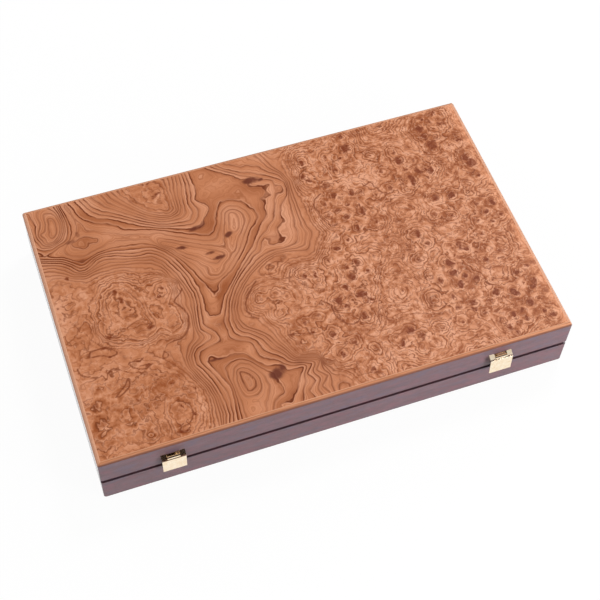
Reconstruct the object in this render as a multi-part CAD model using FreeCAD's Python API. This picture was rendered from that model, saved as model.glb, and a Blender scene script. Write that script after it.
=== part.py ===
import FreeCAD, Part
import math
import os
from FreeCAD import Vector

# Backgammon set: a folding wooden case that holds its playing pieces.
# Millimetres. Origin: centre of the case's underside. +X runs along the length,
# -Y is the latch side, +Y the hinge side, +Z up.

# ---- driving dimensions ----
case_length = 482.0
case_width = 304.0
half_height = 35.0
wall_thick = 12.0
corner_radius = 2.0
seam_gap = 0.6
groove_height = 2.1
groove_depth = 2.0

edging_height = 2.8
edging_width = 3.9
edging_bevel = 2.1
edging_round = 1.2
veneer_thick = 0.6
joint_chamfer = 0.35

field_board_thick = 4.2
inlay_thick = 0.6
rack_width = 46.0
divider_thick = 6.0
divider_drop = 0.4
points_per_side = 6
point_length = 190.0
point_gap = 1.0
partition_thick = 4.0
partition_height = 20.0
rack_bay_length = 140.0

checker_diameter = 36.0
checker_thick = 9.0
checker_pitch = 9.25
checkers_per_player = 15
checker_dish_radius = 12.0
checker_dish_depth = 0.8
checker_edge = 1.0
die_size = 14.0
die_edge = 1.6
pip_radius = 1.4
pip_spread = 3.7
pip_depth = 0.7
die_places = (-50.0, -24.0)
cube_size = 24.0
cube_edge = 2.5
cube_place = 20.0
loose_gap = 0.1

hinge_places = (-165.0, 165.0)
hinge_length = 44.0
hinge_knuckles = 5
hinge_axis_out = 1.0
hinge_knuckle_radius = 2.3
hinge_pin_radius = 1.1
hinge_leaf_thick = 1.0
hinge_leaf_reach = 10.5
hinge_leaf_below_seam = 0.45
hinge_screw_spacing = 15.5
hinge_screw_inset = 6.4
screw_shank_radius = 1.0
screw_head_radius = 1.9
screw_length = 8.0
fit = 0.05
side_gap = 0.2
free_gap = 0.3

# Each latch: its middle, how far its pin and its keeper sit above their usual heights, and how many
# degrees its flap stands open. The right one is mounted too high to snap under its keeper's ridge.
latch_places = ((-170.6, 2.2, 2.2, 0.0), (164.2, 5.0, 2.2, 4.5))
latch_width = 23.7
latch_bottom_width = 23.2
latch_top = 48.5
latch_bottom = 28.0
latch_stand_off = 6.0
latch_plate = 1.0
latch_barrel_radius = 1.7
latch_barrel_sunk = 0.1
latch_pin_radius = 0.7
latch_pin_drop = 0.2
latch_ear_width = 5.4
latch_ear_front = 1.2
latch_ear_slope = 30.0
latch_ear_above = 0.3
latch_ear_below = 1.2
latch_lip_width = 9.0
latch_lip_height = 1.1
latch_lip_tip = 1.2
bracket_width = 14.0
bracket_thick = 0.5
bracket_bottom = 38.5
brad_shank_radius = 0.8
brad_head_radius = 1.5
brad_head_height = 0.7
brad_length = 7.0
bracket_brad_z = 41.2
bracket_brad_spacing = 5.0
keeper_width = 11.0
keeper_bottom = 21.8
keeper_top = 31.0
keeper_thick = 0.6
keeper_ridge_width = 9.0
keeper_ridge_z = 30.8
keeper_ridge_radius = 1.0
keeper_ridge_reach = 2.4
keeper_brad_spacing = 3.4
keeper_brad_z = 24.4

# ---- worked out from them ----
seam_z = half_height
rim_z = half_height - seam_gap / 2
front_y = -case_width / 2
back_y = case_width / 2
inner_x = case_length / 2 - wall_thick
inner_y = case_width / 2 - wall_thick
board_top = edging_height + field_board_thick
floor_z = board_top + inlay_thick
divider_y = -inner_y + rack_width
field_y = divider_y + divider_thick
point_pitch = (inner_y - field_y) / points_per_side
point_width = point_pitch - point_gap
rack_y = -inner_y + rack_width / 2
partition_x = inner_x - rack_bay_length
hinge_y = back_y + hinge_axis_out
latch_pin_y = front_y - latch_stand_off + latch_plate + latch_barrel_radius - latch_barrel_sunk
latch_pin_z = latch_top - latch_pin_drop

X, Y, Z = Vector(1, 0, 0), Vector(0, 1, 0), Vector(0, 0, 1)


# ---- helpers ----
def box(x0, x1, y0, y1, z0, z1):
    return Part.makeBox(x1 - x0, y1 - y0, z1 - z0, Vector(x0, y0, z0))


def rod_x(radius, x0, x1, y, z):
    return Part.makeCylinder(radius, x1 - x0, Vector(x0, y, z), X)


def rod_y(radius, x, y0, y1, z):
    return Part.makeCylinder(radius, y1 - y0, Vector(x, y0, z), Y)


def fused(first, *others):
    return first.fuse(list(others)).removeSplitter()


def to_lid(shape):
    """The same piece in the upper half: mirrored across the seam."""
    return shape.mirror(Vector(0, 0, seam_z), Z)


def rounded_outline(half_x, half_y, radius, z):
    """A rectangle with round corners at height z, as one wire of 4 lines and 4 arcs."""
    edges = []
    corners = [(half_x, half_y, 0), (-half_x, half_y, 90), (-half_x, -half_y, 180), (half_x, -half_y, 270)]
    ends = []
    for x, y, start in corners:
        centre = Vector(x - math.copysign(radius, x), y - math.copysign(radius, y), z)
        spots = []
        for turn in (start, start + 45, start + 90):
            angle = math.radians(turn)
            spots.append(centre + Vector(math.cos(angle), math.sin(angle), 0) * radius)
        edges.append(Part.Arc(*spots).toShape())
        ends.append((spots[0], spots[2]))
    for i in range(4):
        edges.append(Part.LineSegment(ends[i][1], ends[(i + 1) % 4][0]).toShape())
    return Part.Wire(Part.__sortEdges__(edges))


def rounded_slab(half_x, half_y, radius, z0, z1):
    face = Part.Face(rounded_outline(half_x, half_y, radius, z0))
    return face.extrude(Vector(0, 0, z1 - z0))


def edges_where(shape, test):
    return [edge for edge in shape.Edges if test(edge)]


def mitred(frame, side):
    """The stretch of a four-sided frame that belongs to one side, cut at 45 degrees."""
    half_x, cut = case_length / 2, case_width / 2
    low, high = -1.0, 2 * half_height
    wedges = {
        "front": [(-half_x, -cut), (half_x, -cut), (half_x - cut, 0), (-half_x + cut, 0)],
        "back": [(-half_x, cut), (half_x, cut), (half_x - cut, 0), (-half_x + cut, 0)],
        "left": [(-half_x, -cut), (-half_x, cut), (-half_x + cut, 0)],
        "right": [(half_x, -cut), (half_x, cut), (half_x - cut, 0)],
    }
    spots = [Vector(x, y, low) for x, y in wedges[side]]
    wedge = Part.Face(Part.makePolygon(spots + spots[:1])).extrude(Vector(0, 0, high - low))
    return frame.common(wedge).removeSplitter()


SIDES = ("front", "back", "left", "right")


# ---- one half of the case, as the base ----
def panel_envelope():
    """Outer form of the panel: a slab with its whole edge bevelled and eased."""
    half_x, half_y = case_length / 2, case_width / 2
    wide = rounded_outline(half_x, half_y, corner_radius + 0.6, edging_height)
    inset = edging_bevel
    narrow = rounded_outline(half_x - inset, half_y - inset, corner_radius + 0.6 - inset, 0)
    slab = Part.makeLoft([narrow, wide], True, True)
    rim = edges_where(slab, lambda edge: abs(edge.BoundBox.ZMax) < 1e-6)
    return slab.makeFillet(edging_round, rim)


def panel_core_box(z0, z1):
    half_x = case_length / 2 - edging_width
    half_y = case_width / 2 - edging_width
    return box(-half_x, half_x, -half_y, half_y, z0, z1)


def edging():
    frame = panel_envelope().cut(panel_core_box(-1, edging_height + 1))
    return Part.makeCompound([mitred(frame, side) for side in SIDES])


def veneer():
    return panel_core_box(0, veneer_thick)


def panel_board():
    return panel_core_box(veneer_thick, edging_height)


def wall_ring():
    """The four walls in one: round corners, a shadow groove at the rim, an eased joint at the edging."""
    half_x, half_y = case_length / 2, case_width / 2
    ring = rounded_slab(half_x, half_y, corner_radius, edging_height, rim_z)
    foot = edges_where(ring, lambda edge: edge.BoundBox.ZMax < edging_height + 1e-6)
    ring = ring.makeChamfer(joint_chamfer, foot)
    step_z = rim_z - groove_height
    band = rounded_slab(half_x + 1, half_y + 1, corner_radius, step_z, rim_z + 1)
    keep = box(-half_x + groove_depth, half_x - groove_depth, -half_y + groove_depth,
               half_y - groove_depth, step_z - 1, rim_z + 2)
    ring = ring.cut(band.cut(keep))
    hollow = box(-inner_x, inner_x, -inner_y, inner_y, 0, rim_z + 1)
    return ring.cut(hollow)


def hinge_recess(x):
    """Room in a back wall for one hinge leaf, its barrel and its screws."""
    half = hinge_length / 2 + 0.1
    leaf_top = seam_z - hinge_leaf_below_seam
    leaf_bottom = leaf_top - hinge_leaf_thick
    mortise = box(x - half, x + half, hinge_y - hinge_leaf_reach - 0.1, back_y + 1, leaf_bottom, seam_z)
    barrel = rod_x(hinge_knuckle_radius + free_gap, x - half - 0.2, x + half + 0.2, hinge_y, seam_z)
    cuts = [mortise, barrel]
    for place in screw_places(x):
        top = Vector(place, hinge_y - hinge_screw_inset, leaf_bottom + 0.5)
        cuts.append(Part.makeCylinder(screw_shank_radius + fit, screw_length + 0.6, top, -Z))
    return cuts


def screw_places(x):
    return [x - hinge_screw_spacing, x, x + hinge_screw_spacing]


def base_walls():
    ring = wall_ring()
    walls = {side: mitred(ring, side) for side in SIDES}
    for x in hinge_places:
        walls["back"] = walls["back"].cut(hinge_recess(x))
    return walls


def brad_holes(xs, z):
    return [rod_y(brad_shank_radius + fit, x, front_y - 1, front_y + brad_length, z) for x in xs]


def divider():
    return box(-inner_x, inner_x, divider_y, field_y, floor_z, rim_z - divider_drop)


def field_board():
    return box(-inner_x, inner_x, -inner_y, inner_y, edging_height, board_top)


def point(row, end):
    """One inlaid point: row counts from the rack, end is -1 at the left wall and +1 at the right."""
    middle = field_y + (row + 0.5) * point_pitch
    root, tip = end * inner_x, end * (inner_x - point_length)
    spots = [Vector(root, middle - point_width / 2, board_top),
             Vector(root, middle + point_width / 2, board_top),
             Vector(tip, middle, board_top)]
    return Part.Face(Part.makePolygon(spots + spots[:1])).extrude(Vector(0, 0, inlay_thick))


def points(shade):
    """The six dark (0) or six light (1) points of one half."""
    found = []
    for row in range(points_per_side):
        for end in (-1, 1):
            if (row + (end > 0)) % 2 == shade:
                found.append(point(row, end))
    return found


def field_veneer():
    sheet = box(-inner_x, inner_x, -inner_y, inner_y, board_top, floor_z)
    return sheet.cut(points(0) + points(1))


def rack_partitions():
    boards = []
    for end in (-1, 1):
        near, far = sorted((end * (partition_x - partition_thick), end * partition_x))
        board = box(near, far, -inner_y, divider_y, floor_z, floor_z + partition_height)
        upper = edges_where(board, lambda edge: edge.BoundBox.ZMin > floor_z + partition_height - 1e-6
                            and edge.BoundBox.YLength > 1)
        boards.append(board.makeFillet(1.2, upper))
    return Part.makeCompound(boards)


# ---- hinges ----
def knuckle_span(x, index):
    step = (hinge_length + side_gap) / hinge_knuckles
    start = x - hinge_length / 2 + index * step
    return start, start + step - side_gap


def hinge_leaf(x, own):
    """A leaf let into the base rim; own lists the knuckles rolled on it."""
    half = hinge_length / 2
    top = seam_z - hinge_leaf_below_seam
    bottom = top - hinge_leaf_thick
    clear_y = hinge_y - hinge_knuckle_radius - free_gap
    leaf = box(x - half, x + half, hinge_y - hinge_leaf_reach, clear_y, bottom, top)
    parts = []
    for index in own:
        x0, x1 = knuckle_span(x, index)
        parts.append(box(x0, x1, clear_y - 1, hinge_y, bottom, top))
        parts.append(rod_x(hinge_knuckle_radius, x0, x1, hinge_y, seam_z))
    leaf = fused(leaf, *parts)
    cuts = [rod_x(hinge_pin_radius + fit, x - half - 1, x + half + 1, hinge_y, seam_z)]
    for place in screw_places(x):
        spot = Vector(place, hinge_y - hinge_screw_inset, bottom)
        grow = screw_head_radius - screw_shank_radius
        cuts.append(Part.makeCone(screw_shank_radius + fit, screw_shank_radius + grow + fit,
                                  hinge_leaf_thick, spot, Z))
    return leaf.cut(cuts)


def hinge_pin(x):
    half = hinge_length / 2
    pin = rod_x(hinge_pin_radius, x - half, x + half, hinge_y, seam_z)
    return pin.makeChamfer(0.3, edges_where(pin, lambda edge: edge.BoundBox.XLength < 1e-6))


def hinge_screw(x):
    """A countersunk screw with a cross recess, driven down into the base's back wall."""
    y = hinge_y - hinge_screw_inset
    top = seam_z - hinge_leaf_below_seam
    bottom = top - hinge_leaf_thick
    head = Part.makeCone(screw_shank_radius, screw_head_radius, hinge_leaf_thick - 0.02,
                         Vector(x, y, bottom), Z)
    shank = Part.makeCylinder(screw_shank_radius, screw_length - 1.5, Vector(x, y, bottom), -Z)
    tip = Part.makeCone(screw_shank_radius, 0.25, 1.5, Vector(x, y, bottom - screw_length + 1.5), -Z)
    screw = fused(head, shank, tip)
    arm, half = 1.1, 0.22
    cross = [box(x - arm, x + arm, y - half, y + half, top - 0.5, top + 1),
             box(x - half, x + half, y - arm, y + arm, top - 0.5, top + 1)]
    return screw.cut(cross)


def base_hinge_screws():
    return Part.makeCompound([hinge_screw(place) for x in hinge_places for place in screw_places(x)])


# ---- latches ----
def latch_ear(x0, x1):
    """One of the two blocks that hold the pin; its top slopes down to the front."""
    rise = math.tan(math.radians(latch_ear_slope))
    crown = (latch_pin_radius + fit + latch_ear_above) / math.cos(math.radians(latch_ear_slope))
    front, low = latch_pin_y - latch_ear_front, latch_pin_z - latch_ear_below
    top = latch_pin_z + crown
    outline = ((front_y, low), (front, low), (front, top - latch_ear_front * rise),
               (front_y, top + (front_y - latch_pin_y) * rise))
    spots = [Vector(x0, y, z) for y, z in outline]
    return Part.Face(Part.makePolygon(spots + spots[:1])).extrude(Vector(x1 - x0, 0, 0))


def latch_bracket(x):
    """Thin plate on the lid's front wall with an ear at each end for the pin."""
    half = latch_width / 2
    ears = [latch_ear(x - half, x - half + latch_ear_width), latch_ear(x + half - latch_ear_width, x + half)]
    plate = box(x - bracket_width / 2, x + bracket_width / 2, front_y - bracket_thick, front_y,
                bracket_bottom, ears[0].BoundBox.ZMax)
    cuts = [rod_x(latch_pin_radius + fit, x - half - 1, x + half + 1, latch_pin_y, latch_pin_z)]
    cuts += brad_holes(bracket_brads(x), bracket_brad_z)
    return fused(plate, *ears).cut(cuts)


def bracket_brads(x):
    return [x - bracket_brad_spacing, x + bracket_brad_spacing]


def keeper_brads(x):
    return [x - keeper_brad_spacing, x + keeper_brad_spacing]


def latch_flap(x):
    """The plate that hangs from the pin over the seam and hooks under the keeper's ridge."""
    front = front_y - latch_stand_off
    back = front + latch_plate
    barrel_half = latch_width / 2 - latch_ear_width - side_gap
    head_half, foot_half = latch_width / 2, latch_bottom_width / 2
    spots = [Vector(x + dx, front, z) for dx, z in ((-foot_half, latch_bottom), (foot_half, latch_bottom),
                                                    (head_half, latch_top), (-head_half, latch_top))]
    plate = Part.Face(Part.makePolygon(spots + spots[:1])).extrude(Vector(0, latch_plate, 0))
    barrel = rod_x(latch_barrel_radius, x - barrel_half, x + barrel_half, latch_pin_y, latch_pin_z)
    lip = box(x - latch_lip_width / 2, x + latch_lip_width / 2, back - 0.5, front_y - latch_lip_tip,
              latch_bottom, latch_bottom + latch_lip_height)
    flap = fused(plate, barrel, lip)
    outer = edges_where(flap, lambda edge: edge.BoundBox.YMax < front + 1e-6)
    flap = flap.makeFillet(0.35, outer)
    return flap.cut(rod_x(latch_pin_radius + fit, x - latch_width, x + latch_width, latch_pin_y, latch_pin_z))


def latch_pin(x):
    half = latch_width / 2
    return rod_x(latch_pin_radius, x - half, x + half, latch_pin_y, latch_pin_z)


def latch_keeper(x):
    """Strike on the base's front wall: a small plate with a round ridge across it."""
    half = keeper_width / 2
    wall = front_y
    plate = box(x - half, x + half, wall - keeper_thick, wall, keeper_bottom, keeper_top)
    x0, x1 = x - keeper_ridge_width / 2, x + keeper_ridge_width / 2
    centre_y = wall - keeper_ridge_reach + keeper_ridge_radius
    neck = box(x0, x1, centre_y, wall, keeper_ridge_z - keeper_ridge_radius,
               keeper_ridge_z + keeper_ridge_radius)
    ridge = rod_x(keeper_ridge_radius, x0, x1, centre_y, keeper_ridge_z)
    keeper = fused(plate, neck, ridge)
    return keeper.cut(brad_holes(keeper_brads(x), keeper_brad_z))


def brad(x, z, plate):
    """A round-headed brad driven into a front wall through a plate of the given thickness."""
    face = front_y - plate
    shank = rod_y(brad_shank_radius, x, face - 0.1, front_y + brad_length - 0.2, z)
    head = rod_y(brad_head_radius, x, face - brad_head_height, face, z)
    rim = edges_where(head, lambda edge: edge.BoundBox.YMax < face - brad_head_height + 1e-6)
    return fused(head.makeFillet(0.45, rim), shank)


def bracket_brad_group():
    return Part.makeCompound([brad(place, bracket_brad_z + up, bracket_thick)
                              for x, up, _, _ in latch_places for place in bracket_brads(x)])


def keeper_brad_group():
    return Part.makeCompound([brad(place, keeper_brad_z + up, keeper_thick)
                              for x, _, up, _ in latch_places for place in keeper_brads(x)])


# ---- playing pieces ----
def checker(x):
    """A playing piece standing on edge in the rack, turned with a shallow dish in each face."""
    radius = checker_diameter / 2
    z = floor_z + free_gap + radius
    x0, x1 = x - checker_thick / 2, x + checker_thick / 2
    disc = rod_x(radius, x0, x1, rack_y, z)
    disc = disc.makeFillet(checker_edge, edges_where(disc, lambda edge: edge.BoundBox.XLength < 1e-6))
    dishes = [rod_x(checker_dish_radius, x0 - 1, x0 + checker_dish_depth, rack_y, z),
              rod_x(checker_dish_radius, x1 - checker_dish_depth, x1 + 1, rack_y, z)]
    return disc.cut(dishes)


def checker_row(end):
    first = inner_x - (rack_bay_length - (checkers_per_player - 1) * checker_pitch) / 2
    return Part.makeCompound([checker(end * (first - i * checker_pitch)) for i in range(checkers_per_player)])


def rounded_cube(x, size, edge):
    half = size / 2
    z0 = floor_z + loose_gap
    cube = box(x - half, x + half, rack_y - half, rack_y + half, z0, z0 + size)
    return cube.makeFillet(edge, cube.Edges)


PIPS = {
    1: [(0, 0)],
    2: [(-1, -1), (1, 1)],
    3: [(-1, -1), (0, 0), (1, 1)],
    4: [(-1, -1), (-1, 1), (1, -1), (1, 1)],
    5: [(-1, -1), (-1, 1), (0, 0), (1, -1), (1, 1)],
    6: [(-1, -1), (-1, 0), (-1, 1), (1, -1), (1, 0), (1, 1)],
}


def die(x, top, right, front):
    """A die with its pips sunk in; opposite faces add up to seven."""
    faces = [(Z, X, Y, top), (-Z, X, Y, 7 - top), (X, Y, Z, right), (-X, Y, Z, 7 - right),
             (-Y, X, Z, front), (Y, X, Z, 7 - front)]
    centre = Vector(x, rack_y, floor_z + loose_gap + die_size / 2)
    lift = die_size / 2 + pip_radius - pip_depth
    balls = []
    for out, across, up, count in faces:
        for a, b in PIPS[count]:
            spot = centre + out * lift + across * (a * pip_spread) + up * (b * pip_spread)
            balls.append(Part.makeSphere(pip_radius, spot))
    return rounded_cube(x, die_size, die_edge).cut(balls)


# ---- the whole set ----
def case_nodes():
    nodes = {}
    base = {"field_board": field_board(), "field_veneer": field_veneer(), "panel_board": panel_board(),
            "burl_veneer": veneer(), "edging": edging(), "rack_divider": divider(),
            "dark_points": Part.makeCompound(points(0)), "light_points": Part.makeCompound(points(1))}
    for name, shape in base.items():
        nodes["base_" + name] = shape
        nodes["lid_" + name] = to_lid(shape)
    walls = base_walls()
    for side, wall in walls.items():
        nodes["base_" + side + "_wall"] = wall
        nodes["lid_" + side + "_wall"] = to_lid(wall)
    for x, pin_up, keeper_up, _ in latch_places:
        low = brad_holes(keeper_brads(x), keeper_brad_z + keeper_up)
        nodes["base_front_wall"] = nodes["base_front_wall"].cut(low)
        high = brad_holes(bracket_brads(x), bracket_brad_z + pin_up)
        nodes["lid_front_wall"] = nodes["lid_front_wall"].cut(high)
    nodes["rack_partitions"] = rack_partitions()
    return nodes


def hardware_nodes():
    nodes = {}
    for side, x in zip(("left", "right"), hinge_places):
        nodes[side + "_hinge_base_leaf"] = hinge_leaf(x, (0, 2, 4))
        nodes[side + "_hinge_lid_leaf"] = to_lid(hinge_leaf(x, (1, 3)))
        nodes[side + "_hinge_pin"] = hinge_pin(x)
    for side, (x, pin_up, keeper_up, open_by) in zip(("left", "right"), latch_places):
        flap = latch_flap(x)
        flap.rotate(Vector(x, latch_pin_y, latch_pin_z), -X, open_by)
        for piece, shape, up in (("bracket", latch_bracket(x), pin_up), ("flap", flap, pin_up),
                                 ("pin", latch_pin(x), pin_up), ("keeper", latch_keeper(x), keeper_up)):
            nodes[side + "_latch_" + piece] = shape.translated(Vector(0, 0, up))
    screws = base_hinge_screws()
    nodes["base_hinge_screws"] = screws
    nodes["lid_hinge_screws"] = to_lid(screws)
    nodes["latch_bracket_brads"] = bracket_brad_group()
    nodes["latch_keeper_brads"] = keeper_brad_group()
    return nodes


def playing_nodes():
    return {"light_checkers": checker_row(-1), "dark_checkers": checker_row(1),
            "die_1": die(die_places[0], 3, 2, 6), "die_2": die(die_places[1], 5, 4, 1),
            "doubling_cube": rounded_cube(cube_place, cube_size, cube_edge)}


os.makedirs("parts", exist_ok=True)
everything = {**case_nodes(), **hardware_nodes(), **playing_nodes()}
for name, shape in everything.items():
    if not shape.isValid():
        print("not valid:", name)
    print(name, len(shape.Solids), round(shape.Volume, 1))
    shape.exportStep("parts/" + name + ".step")
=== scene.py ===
import math

import bpy
import numpy
from mathutils import Matrix, Vector, noise


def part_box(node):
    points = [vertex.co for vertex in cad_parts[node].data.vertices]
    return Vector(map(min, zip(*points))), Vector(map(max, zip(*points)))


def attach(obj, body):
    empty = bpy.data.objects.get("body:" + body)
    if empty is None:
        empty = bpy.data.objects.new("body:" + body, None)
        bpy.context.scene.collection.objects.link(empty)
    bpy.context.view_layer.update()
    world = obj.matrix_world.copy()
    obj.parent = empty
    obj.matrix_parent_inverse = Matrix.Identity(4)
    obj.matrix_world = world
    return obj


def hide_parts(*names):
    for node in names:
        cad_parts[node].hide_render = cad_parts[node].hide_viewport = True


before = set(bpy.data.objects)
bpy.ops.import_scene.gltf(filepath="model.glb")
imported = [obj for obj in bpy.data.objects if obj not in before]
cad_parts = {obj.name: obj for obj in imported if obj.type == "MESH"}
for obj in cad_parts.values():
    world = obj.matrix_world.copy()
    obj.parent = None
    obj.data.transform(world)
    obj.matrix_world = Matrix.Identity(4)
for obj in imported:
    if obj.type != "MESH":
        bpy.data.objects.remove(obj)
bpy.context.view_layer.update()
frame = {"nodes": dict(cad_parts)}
nodes = frame["nodes"]

# A folding backgammon case: burl veneer lid, pale edging, dark walls and brass latches.
# Metres, in the case's own frame: +X along its length, -Y the latch side, +Z up.
# The wood figure is set out in millimetres from the middle of the case.
MM = 0.001
case_low, case_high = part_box("lid_edging")
case_length = case_high[0] - case_low[0]
case_width = case_high[1] - case_low[1]
case_top = case_high[2]
edging_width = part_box("lid_burl_veneer")[0][0] - case_low[0]


# ---- shader maths ----
class Value:
    """A number on its way through a material's nodes."""

    def __init__(self, finish, socket):
        self.finish = finish
        self.socket = socket

    def op(self, operation, *others):
        return self.finish.math(operation, self, *others)

    def __add__(self, other):
        return self.op("ADD", other)

    def __radd__(self, other):
        return self.op("ADD", other)

    def __sub__(self, other):
        return self.op("SUBTRACT", other)

    def __rsub__(self, other):
        return self.finish.math("SUBTRACT", other, self)

    def __mul__(self, other):
        return self.op("MULTIPLY", other)

    def __rmul__(self, other):
        return self.op("MULTIPLY", other)

    def __truediv__(self, other):
        return self.op("DIVIDE", other)

    def __abs__(self):
        return self.op("ABSOLUTE")

    def above(self, low, high):
        """0 at low and less, 1 at high and more, eased between. low may be the larger one."""
        settings = {"interpolation_type": "SMOOTHSTEP"}
        if low <= high:
            return self.finish.node("ShaderNodeMapRange", settings,
                                    {"Value": self, "From Min": low, "From Max": high})
        return self.finish.node("ShaderNodeMapRange", settings,
                                {"Value": self, "From Min": high, "From Max": low,
                                 "To Min": 1.0, "To Max": 0.0})


def opaque(colour):
    return (*colour, 1.0) if isinstance(colour, tuple) else colour


class Nodes:
    """A tree of nodes, and one method that adds any node to it."""

    def __init__(self, tree):
        self.tree = tree

    def node(self, kind, settings=None, inputs=None, output=0):
        made = self.tree.nodes.new(kind)
        for name, value in (settings or {}).items():
            if name == "stops":
                self.set_stops(made.color_ramp, value)
            else:
                setattr(made, name, value)
        for name, value in (inputs or {}).items():
            self.feed(made.inputs[name], value)
        return None if output is None else Value(self, made.outputs[output])

    def feed(self, socket, value):
        if isinstance(value, Value):
            self.tree.links.new(value.socket, socket)
        elif value is not None:
            socket.default_value = value

    @staticmethod
    def set_stops(ramp, stops):
        while len(ramp.elements) < len(stops):
            ramp.elements.new(1.0)
        for element, (place, colour) in zip(ramp.elements, stops):
            element.position = place
            element.color = (*colour, 1.0)

    def math(self, operation, *values):
        return self.node("ShaderNodeMath", {"operation": operation}, dict(enumerate(values)))

    def vector(self, operation, *values, output=0):
        return self.node("ShaderNodeVectorMath", {"operation": operation}, dict(enumerate(values)), output)

    def axis(self, vector, letter):
        return self.node("ShaderNodeSeparateXYZ", None, {"Vector": vector}, letter)

    def join(self, x, y, z):
        return self.node("ShaderNodeCombineXYZ", None, {"X": x, "Y": y, "Z": z})

    def noise(self, vector, size, detail=2.0, roughness=0.5, output=0):
        """Cloudy noise about 0.5, with blotches of the given size in the vector's units."""
        return self.node("ShaderNodeTexNoise", None,
                         {"Vector": vector, "Scale": 1.0 / size, "Detail": detail, "Roughness": roughness},
                         output)

    def noise_1d(self, value, detail=1.0):
        """Cloudy noise about 0.5 along one number."""
        return self.node("ShaderNodeTexNoise", {"noise_dimensions": "1D"},
                         {"W": value, "Scale": 1.0, "Detail": detail})

    def stray(self, vector, size, reach, detail=2.0):
        """The vector pushed about by up to the reach, in patches of the given size."""
        push = self.noise(vector, size, detail, output="Color")
        push = self.vector("SUBTRACT", push, (0.5, 0.5, 0.5))
        return self.vector("MULTIPLY_ADD", push, (2 * reach, 2 * reach, 0.0), vector)

    def blend(self, factor, first, second):
        """A colour: first where factor is 0, second where it is 1."""
        return self.node("ShaderNodeMix", {"data_type": "RGBA"},
                         {0: factor, 6: opaque(first), 7: opaque(second)}, 2)

    def ramp(self, value, *stops):
        """The colour at the value; a stop is a value and its colour."""
        return self.node("ShaderNodeValToRGB", {"stops": stops}, {"Fac": value})


class Finish(Nodes):
    """One material: its nodes, and the shader that they feed."""

    def __init__(self, name, **constants):
        self.material = bpy.data.materials.new(name)
        self.material.use_nodes = True
        super().__init__(self.material.node_tree)
        self.shader = self.tree.nodes["Principled BSDF"]
        for socket, value in constants.items():
            self.shader.inputs[socket.replace("_", " ")].default_value = value
        self.place = self.node("ShaderNodeTexCoord", output="Object")
        self.mm = self.vector("MULTIPLY", self.place, (1 / MM, 1 / MM, 1 / MM))

    def finish(self, colour, roughness=None, height=None, depth=0.0001, strength=1.0):
        """Feeds the shader; height is a surface relief of the given depth in metres."""
        self.feed(self.shader.inputs["Base Color"], colour)
        self.feed(self.shader.inputs["Roughness"], roughness)
        if height is not None:
            bump = self.node("ShaderNodeBump", None,
                             {"Height": height, "Distance": depth, "Strength": strength})
            self.feed(self.shader.inputs["Normal"], bump)
        return self.material


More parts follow.
